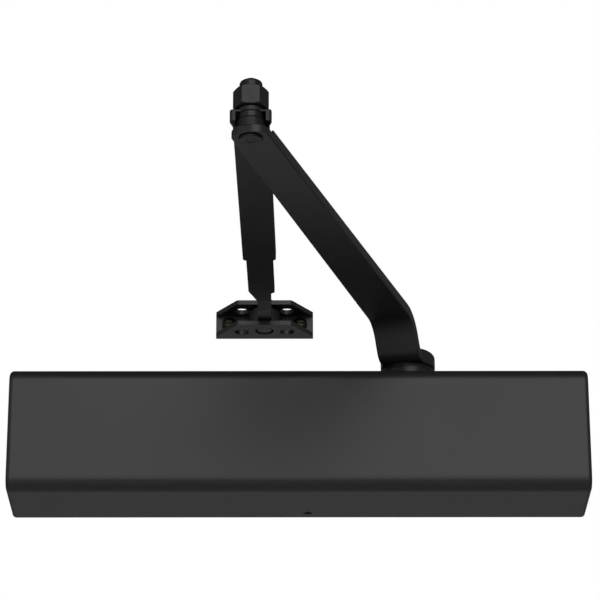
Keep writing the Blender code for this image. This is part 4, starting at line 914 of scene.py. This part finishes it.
def build_arm_fasteners():
    low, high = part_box("arm_washer")
    washer = turned(
        "arm_lock_washer", ring_corners(WASHER_HOLE, (high.x - low.x) / 2, low.z, high.z, 0.0003, 0.0002),
        sides=FEW_SIDES,
    )
    hand_over(washer, PINION_FRAME, "main_arm", "arm_washer", BLACK_STEEL)
    low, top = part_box("arm_screw")
    head_low = high.z + GAP
    radius = (top.x - low.x) / 2
    screw = turned("arm_cap_screw", [
        (0, low.z, 0), (ARM_SCREW_RADIUS, low.z, 0.0004), (ARM_SCREW_RADIUS, head_low, 0),
        (radius, head_low, 0.0004), (radius, top.z, 0.0008), (0, top.z, 0),
    ], sides=FEW_SIDES)
    hexagon = polygon(6, ARM_SCREW_SOCKET)
    cut(screw, extruded("socket", hexagon, head_low + 0.002, top.z + BEYOND))
    hand_over(screw, PINION_FRAME, "main_arm", "arm_screw", BLACK_STEEL)


def build_elbow():
    """The stud and the pieces stacked on it."""
    low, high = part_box("elbow_stud")
    head_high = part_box("main_arm")[1].z - ARM_THICKNESS - GAP
    dimple = low.z + STUD_DIMPLE_DEPTH
    stud = turned("elbow_rivet_stud", [
        (0, dimple, 0), (STUD_DIMPLE_RADIUS, dimple, 0.0002),
        (STUD_DIMPLE_RADIUS + STUD_DIMPLE_SLOPE, low.z, 0.0002), (STUD_HEAD_RADIUS, low.z, 0.0004),
        (STUD_HEAD_RADIUS, head_high, 0.0002), (STUD_RADIUS, head_high, 0),
        (STUD_RADIUS, high.z - STUD_TIP_HEIGHT, 0.0006), (STUD_RADIUS - STUD_TIP_TAPER, high.z, 0.0006),
        (0, high.z, 0),
    ], sides=FEW_SIDES)
    hand_over(stud, ELBOW_FRAME, "main_arm", "elbow_stud", BLACK_STEEL)

    hole = STUD_RADIUS + GAP
    rings = (
        ("elbow_spacer", "elbow_round_spacer", DULL_STEEL), ("elbow_bush", "elbow_plain_bush", BLACK_STEEL),
    )
    for node, name, finish in rings:
        low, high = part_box(node)
        ring = turned(name, ring_corners(hole, (high.x - low.x) / 2, low.z, high.z, 0.0004, 0.0001))
        hand_over(ring, ELBOW_FRAME, "main_arm", node, finish)

    low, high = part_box("elbow_nut")
    hex_high = low.z + NUT_HEIGHT
    hexagon = polygon(6, NUT_CORNER_RADIUS, NUT_TURN)
    nut = extruded("elbow_hexagon_nut", hexagon, low.z - BEYOND, hex_high + BEYOND)
    outside = NUT_CORNER_RADIUS + OUTSIDE
    chamfers = turned("chamfers", [
        (0, low.z, 0), (NUT_FACE_RADIUS, low.z, 0.0003), (outside, low.z + NUT_CHAMFER, 0),
        (outside, hex_high - NUT_CHAMFER, 0), (NUT_FACE_RADIUS, hex_high, 0.0003), (0, hex_high, 0),
    ])
    combine(nut, [chamfers], "INTERSECT")
    soften(nut, 0.00025, segments=2)
    radius = NUT_COLLAR_RADIUS
    root = hex_high - 2 * OVERLAP
    collar = turned("collar", [
        (0, root, 0), (radius, root, 0), (radius, high.z, 0.0015), (0, high.z, 0),
    ], steps=8)
    join(nut, collar)
    cut(nut, drill(hole, low.z - BEYOND, high.z + BEYOND))
    hand_over(nut, ELBOW_FRAME @ ARM_TURN, "main_arm", "elbow_nut", BLACK_STEEL)


# ---- forearm
SLEEVE_LENGTH = 0.1660
SLEEVE_WIDTH = 0.018
SLEEVE_EAR_WIDTH = 0.0206
SLEEVE_EAR_START = -0.0042  # the ears stand beside the elbow's axis, from here
SLEEVE_EAR_END = -0.0008
SLEEVE_NARROW = 0.0036
SLEEVE_WALL = 0.00135
SLEEVE_SIDE = 0.0015
SLEEVE_CORNER = 0.0016
SLEEVE_RIM = 0.0007
SLEEVE_SCREWS = (0.117, 0.146)
SLEEVE_HEIGHT = 0.0066
SLEEVE_PAD_HEIGHT = 0.0016
SLEEVE_END_RADIUS = 0.0064
SLEEVE_MOUTH = 0.0095
PAD_RADIUS = 0.0058
CLAMP_HOLE_RADIUS = 0.0028
CLAMP_SCREW_RADIUS = 0.0025
CLAMP_HEAD_RADIUS = 0.0046
CLAMP_HEAD_HEIGHT = 0.0036
CLAMP_CROWN_HEIGHT = 0.0009
CLAMP_CROWN_TAPER = 0.0012
ROD_WIDTH = 0.0146
ROD_START = 0.072
ROD_THICKNESS = 0.0033
SHOULDER = 0.2119
SHOULDER_STEP = 0.0015
SHOULDER_SLOPE = 0.002
NECK_LEFT = 0.0027
NECK_RIGHT = 0.0051
NECK_TURN = 0.001  # how far the neck leans to the left at the eye
NECK_REACH = 0.014  # from the shoulder to where the neck is straight and starts to rise
NECK_INSET = 0.0002  # of the neck above and below the eye's faces
RISE_BEFORE_EYE = 0.0235
RISE_RADIUS = 0.012
EYE_RADIUS = 0.0088
EYE_HEIGHT = 0.0088
PIN_RADIUS = 0.0049


def build_sleeve():
    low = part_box("forearm_sleeve")[0]
    top = low.z + SLEEVE_HEIGHT
    half = SLEEVE_WIDTH / 2
    ear = SLEEVE_EAR_WIDTH / 2
    corners = [
        (SLEEVE_EAR_START, ear, SLEEVE_CORNER), (SLEEVE_EAR_END, ear, 0.001),
        (SLEEVE_NARROW, half, 0.002), (SLEEVE_LENGTH, half, SLEEVE_CORNER),
    ]
    outline = rounded([(x, -side, fillet) for x, side, fillet in corners] + corners[::-1], steps=8)
    sleeve = extruded("forearm_channel", outline, low.z, top)
    soften(sleeve, SLEEVE_RIM, angle=60)
    nut_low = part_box("elbow_nut")[0].z
    end = turned("end", rod_corners(SLEEVE_END_RADIUS, top - 2 * SLEEVE_WALL, nut_low - GAP, 0.0003))
    pad_top = top + SLEEVE_PAD_HEIGHT
    pad_corners = rod_corners(PAD_RADIUS, top - OVERLAP, pad_top, 0.0005)
    pads = [turned("pad", pad_corners, sides=FEW_SIDES, centre=(x, 0, 0)) for x in SLEEVE_SCREWS]
    join(sleeve, end, *pads)
    inner = ROD_WIDTH / 2 + GAP
    tunnel = block(
        "tunnel", (SLEEVE_MOUTH - 2 * OVERLAP, -inner, low.z + SLEEVE_WALL),
        (SLEEVE_LENGTH + BEYOND, inner, top - SLEEVE_WALL),
    )
    side = half - SLEEVE_SIDE
    elbow_room = block(
        "elbow_room", (-SLEEVE_END_RADIUS - BEYOND, -side, low.z - BEYOND),
        (SLEEVE_MOUTH, side, top - SLEEVE_WALL),
    )
    stud_hole = drill(STUD_RADIUS + GAP, low.z, nut_low + BEYOND)
    floor = top - SLEEVE_WALL - BEYOND
    screw_holes = [
        drill(CLAMP_HOLE_RADIUS, floor, pad_top + BEYOND, centre=(x, 0, 0)) for x in SLEEVE_SCREWS
    ]
    join(elbow_room, tunnel)
    cut(sleeve, elbow_room, stud_hole, *screw_holes)
    hand_over(sleeve, FOREARM_FRAME, "forearm_sleeve", "forearm_sleeve", FOREARM_PAINT)


def build_sleeve_screws():
    for node, x in zip(("sleeve_screw_front", "sleeve_screw_rear"), SLEEVE_SCREWS):
        low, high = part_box(node)
        head_low = high.z - CLAMP_HEAD_HEIGHT
        stem = rod_corners(CLAMP_SCREW_RADIUS, low.z, head_low + 2 * OVERLAP, 0.0002)
        screw = turned(node + "_bolt", stem, sides=FEW_SIDES)
        head = extruded("head", polygon(6, CLAMP_HEAD_RADIUS), head_low, high.z)
        wide = CLAMP_HEAD_RADIUS + OUTSIDE
        foot = head_low - OVERLAP
        over = high.z + 0.0001
        crown = turned("crown", [
            (0, foot, 0), (wide, foot, 0), (wide, high.z - CLAMP_CROWN_HEIGHT, 0.0002),
            (wide - CLAMP_CROWN_TAPER, over, 0.0004), (0, over, 0),
        ])
        combine(head, [crown], "INTERSECT")
        join(screw, head)
        place = FOREARM_FRAME @ Matrix.Translation((x, 0, 0))
        hand_over(screw, place, "forearm_sleeve", node, BLACK_STEEL)


def build_rod():
    """Flat bar, then a narrow neck that rises to the eye."""
    low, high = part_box("forearm_rod")
    half = ROD_WIDTH / 2
    bar_top = low.z + ROD_THICKNESS
    eye_bottom = high.z - EYE_HEIGHT
    end = FOREARM_LENGTH
    step = SHOULDER + SHOULDER_STEP
    rise_start = SHOULDER + NECK_REACH
    rise_end = end - RISE_BEFORE_EYE
    plan = rounded([
        (ROD_START, -half, 0.001), (step, -half, 0.001), (step + SHOULDER_SLOPE, -NECK_RIGHT, 0.001),
        (end, NECK_TURN - NECK_RIGHT, 0), (end, NECK_TURN + NECK_LEFT, 0),
        (rise_start, NECK_LEFT, 0.007), (SHOULDER, half, 0.002), (ROD_START, half, 0.001),
    ], steps=8)
    start = ROD_START - BEYOND
    past = end + 2 * OVERLAP
    neck_low = eye_bottom + NECK_INSET
    neck_top = high.z - NECK_INSET
    side = rounded([
        (start, low.z, 0), (rise_start, low.z, 0.015), (rise_end, neck_low, RISE_RADIUS),
        (past, neck_low, 0), (past, neck_top, 0), (rise_end - 0.004, neck_top, RISE_RADIUS),
        (rise_start - 0.008, bar_top, RISE_RADIUS), (start, bar_top, 0),
    ], steps=10)
    rod = extruded("forearm_bar", side, -half - BEYOND, half + BEYOND, along="Y")
    plan_cutter = extruded("plan", plan, low.z - BEYOND, high.z + BEYOND)
    combine(rod, [plan_cutter], "INTERSECT")
    soften(rod, 0.0006, angle=50)
    centre = (end, 0, 0)
    join(rod, turned("eye", rod_corners(EYE_RADIUS, eye_bottom, high.z, 0.0009), centre=centre))
    cut(rod, drill(PIN_RADIUS + GAP, eye_bottom - BEYOND, high.z + BEYOND, centre=centre))
    hand_over(rod, FOREARM_FRAME, "forearm_rod", "forearm_rod", FOREARM_PAINT)


# ---- frame shoe
SHOE_NEAR_HALF = 0.0157
SHOE_WALL = 0.0027
SHOE_DEPTH = 0.021
SHOE_SCREW_X = 0.0205
SHOE_LIGHT_HOLE_X = 0.013
SHOE_LIGHT_HOLE_RADIUS = 0.0041
SHOE_LIGHT_HOLE_Y = 0.0105  # from the wall
SHOE_SCREW_HOLE = 0.0033
SHOE_TIP_DEPTH = 0.0032
PIN_HEAD_RADIUS = 0.0068
SHOE_SCREW_CROSS = (0.0024, 0.00045, 0.0012)


def build_shoe():
    low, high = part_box("shoe_bracket")
    wall_face = high.y - PIVOT.y
    near = wall_face - SHOE_DEPTH
    half = (high.x - low.x) / 2
    tip = wall_face - SHOE_TIP_DEPTH
    corners = [(half, wall_face, 0.0004), (half, tip, 0.0012), (SHOE_NEAR_HALF, near, 0.0022)]
    outline = rounded([(-x, y, fillet) for x, y, fillet in corners] + corners[::-1], steps=6)
    shoe = extruded("shoe_channel", outline, low.z, high.z)
    channel = block(
        "channel", (-half - BEYOND, near - BEYOND, low.z + SHOE_WALL),
        (half + BEYOND, wall_face - SHOE_WALL, high.z - SHOE_WALL),
    )
    floor = low.z - BEYOND
    roof = high.z + BEYOND
    holes = [drill(PIN_RADIUS + GAP, floor, roof)]
    web = wall_face - SHOE_WALL
    middle = (low.z + high.z) / 2
    for side in (-1, 1):
        light_place = (side * SHOE_LIGHT_HOLE_X, wall_face - SHOE_LIGHT_HOLE_Y, 0)
        screw_place = (side * SHOE_SCREW_X, 0, middle)
        holes.append(drill(SHOE_LIGHT_HOLE_RADIUS, floor, roof, centre=light_place))
        holes.append(drill(SHOE_SCREW_HOLE, web - BEYOND, wall_face + BEYOND, "Y", screw_place))
    cut(shoe, channel, *holes)
    soften(shoe, 0.0006, angle=50)
    hand_over(shoe, PIVOT_FRAME, "frame_shoe", "shoe_bracket", SHOE_PAINT)


def build_shoe_fasteners():
    low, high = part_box("shoe_pivot_pin")
    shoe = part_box("shoe_bracket")[1]
    head_low = shoe.z + GAP
    pin = turned("shoe_rivet", [
        (0, low.z, 0), (PIN_RADIUS, low.z, 0.0013), (PIN_RADIUS, head_low, 0),
        (PIN_HEAD_RADIUS, head_low, 0.0003), (PIN_HEAD_RADIUS, high.z, 0.0012), (0, high.z, 0),
    ])
    hand_over(pin, PIVOT_FRAME, "frame_shoe", "shoe_pivot_pin", BLACK_STEEL)
    face = shoe.y - SHOE_WALL - GAP
    shank = SHOE_SCREW_HOLE - GAP
    for node in ("shoe_screw_left", "shoe_screw_right"):
        screw = pan_head_screw(node, face, shank, 0.55, (0.0008, 0.0004), SHOE_SCREW_CROSS)
        # Painted shade: the zinc colour on these screws is darkened for the shade inside the shoe.
        hand_over(screw, Matrix(), "frame_shoe", node, ZINC_WITH_PAINTED_SHADE)


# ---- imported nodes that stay
KEPT_MATERIALS = {"bright_steel": GROUND_STEEL, "seal_rubber": RUBBER}


def dress_kept_nodes():
    slots = {part["node"]: part["material_slot"] for part in frame["record"]["subparts"]}
    for name, node in frame["nodes"].items():
        if node.hide_render:
            continue
        node.data.materials.clear()
        node.data.materials.append(KEPT_MATERIALS[slots[name]])


# ---- studio
CAMERA_PLACE = (-0.0023, -1.6041, -0.5836)
CAMERA_PITCH = math.radians(23.015)
CAMERA_YAW = math.radians(-0.113)
CAMERA_ROLL = math.radians(-0.087)
CAMERA_LENS = 179.3
CAMERA_SENSOR = 36
ROOM_LEVELS = ((0.0, 0.10), (0.40, 0.14), (0.55, 0.26), (0.70, 0.24), (0.85, 0.05), (1.0, 0.03))
FRONT_LEVEL = 1.15  # strength of the surroundings in front of the door and behind it
BACK_LEVEL = 0.45
FLOOR_Z = -1.7
FLOOR_HALF = 12
FLOOR_THICKNESS = 0.01
FLOOR_TONES = ((0.84, 0.84, 0.84), (0.88, 0.88, 0.88))
OBJECT = (0, -0.1, 0)
# name, place, what it points at, width, height, watts
LIGHTS = (
    ("key", (0.35, -3.2, 1.5), OBJECT, 3.2, 1.6, 31),
    ("front_fill", (0, -3.4, -0.3), OBJECT, 3.4, 1.2, 17),
    ("left_fill", (-2.6, -1.8, 0.6), OBJECT, 1.6, 1.6, 4),
    ("floor_wash", (0, 3.0, 0.6), (0, 3.2, FLOOR_Z), 3.0, 1.6, 30),
)


def build_camera():
    camera = in_scene("camera", bpy.data.cameras.new("camera"))
    camera.data.lens = CAMERA_LENS
    camera.data.sensor_width = CAMERA_SENSOR
    turn = Matrix.Rotation(CAMERA_YAW, 4, "Z") @ Matrix.Rotation(math.pi / 2 + CAMERA_PITCH, 4, "X")
    camera.matrix_world = Matrix.Translation(CAMERA_PLACE) @ turn @ Matrix.Rotation(CAMERA_ROLL, 4, "Z")
    bpy.context.scene.camera = camera


def soft_light(name, place, aim, width, height, power):
    light = bpy.data.lights.new(name, "AREA")
    light.shape = "RECTANGLE"
    light.size, light.size_y = width, height
    light.energy = power
    lamp = in_scene(name, light)
    lamp.location = place
    lamp.rotation_euler = (Vector(aim) - Vector(place)).to_track_quat("-Z", "Y").to_euler()
    lamp.visible_camera = False


def build_surroundings():
    """White behind the object. In its reflections, a grey room that is brighter in front."""
    world = bpy.data.worlds.new("studio")
    bpy.context.scene.world = world
    world.use_nodes = True
    tree = world.node_tree
    tree.nodes.clear()
    place, split, ramp, lift, behind, room, backdrop, seen, choose, output = [
        tree.nodes.new("ShaderNode" + kind) for kind in (
            "TexCoord", "SeparateXYZ", "ValToRGB", "MapRange", "MapRange", "Background", "Background",
            "LightPath", "MixShader", "OutputWorld",
        )
    ]
    lift.inputs["From Min"].default_value = -1
    behind.inputs["From Min"].default_value = -1
    behind.inputs["To Min"].default_value = FRONT_LEVEL
    behind.inputs["To Max"].default_value = BACK_LEVEL
    backdrop.inputs["Color"].default_value = (1, 1, 1, 1)
    stops = ramp.color_ramp.elements
    stops[0].position = ROOM_LEVELS[0][0]
    stops[1].position = ROOM_LEVELS[-1][0]
    for position, level in ROOM_LEVELS[1:-1]:
        stops.new(position)
    for stop, (position, level) in zip(stops, ROOM_LEVELS):
        stop.color = (level, level, level * 1.02, 1)
    for source, result, target, value in (
        (place, "Generated", split, "Vector"), (split, "Z", lift, "Value"), (lift, "Result", ramp, "Fac"),
        (ramp, "Color", room, "Color"), (split, "Y", behind, "Value"),
        (behind, "Result", room, "Strength"), (seen, "Is Camera Ray", choose, "Fac"),
        (room, "Background", choose, 1), (backdrop, "Background", choose, 2),
        (choose, "Shader", output, "Surface"),
    ):
        tree.links.new(source.outputs[result], target.inputs[value])


def build_floor():
    low = (-FLOOR_HALF, -FLOOR_HALF, FLOOR_Z - FLOOR_THICKNESS)
    floor = block("floor", low, (FLOOR_HALF, FLOOR_HALF, FLOOR_Z))
    paint = Graph("pale_floor")
    grain = paint.noise(6, detail=3)
    colour = paint.mix(paint.spread(grain, 0.3, 0.7), *FLOOR_TONES)
    paint.finish(colour, 0.0, paint.spread(grain, 0.3, 0.7, 0.7, 0.8))
    floor.data.materials.append(paint.material)


build_cover()
build_cover_screw()
build_bearing_caps()
build_housing()
build_mounting_screws()
build_spring()
build_end_plugs()
build_valves()
build_main_arm()
build_arm_fasteners()
build_elbow()
build_sleeve()
build_sleeve_screws()
build_rod()
build_shoe()
build_shoe_fasteners()
dress_kept_nodes()
build_camera()
build_surroundings()
build_floor()
for light in LIGHTS:
    soft_light(*light)
bpy.context.scene.view_settings.view_transform = "Standard"
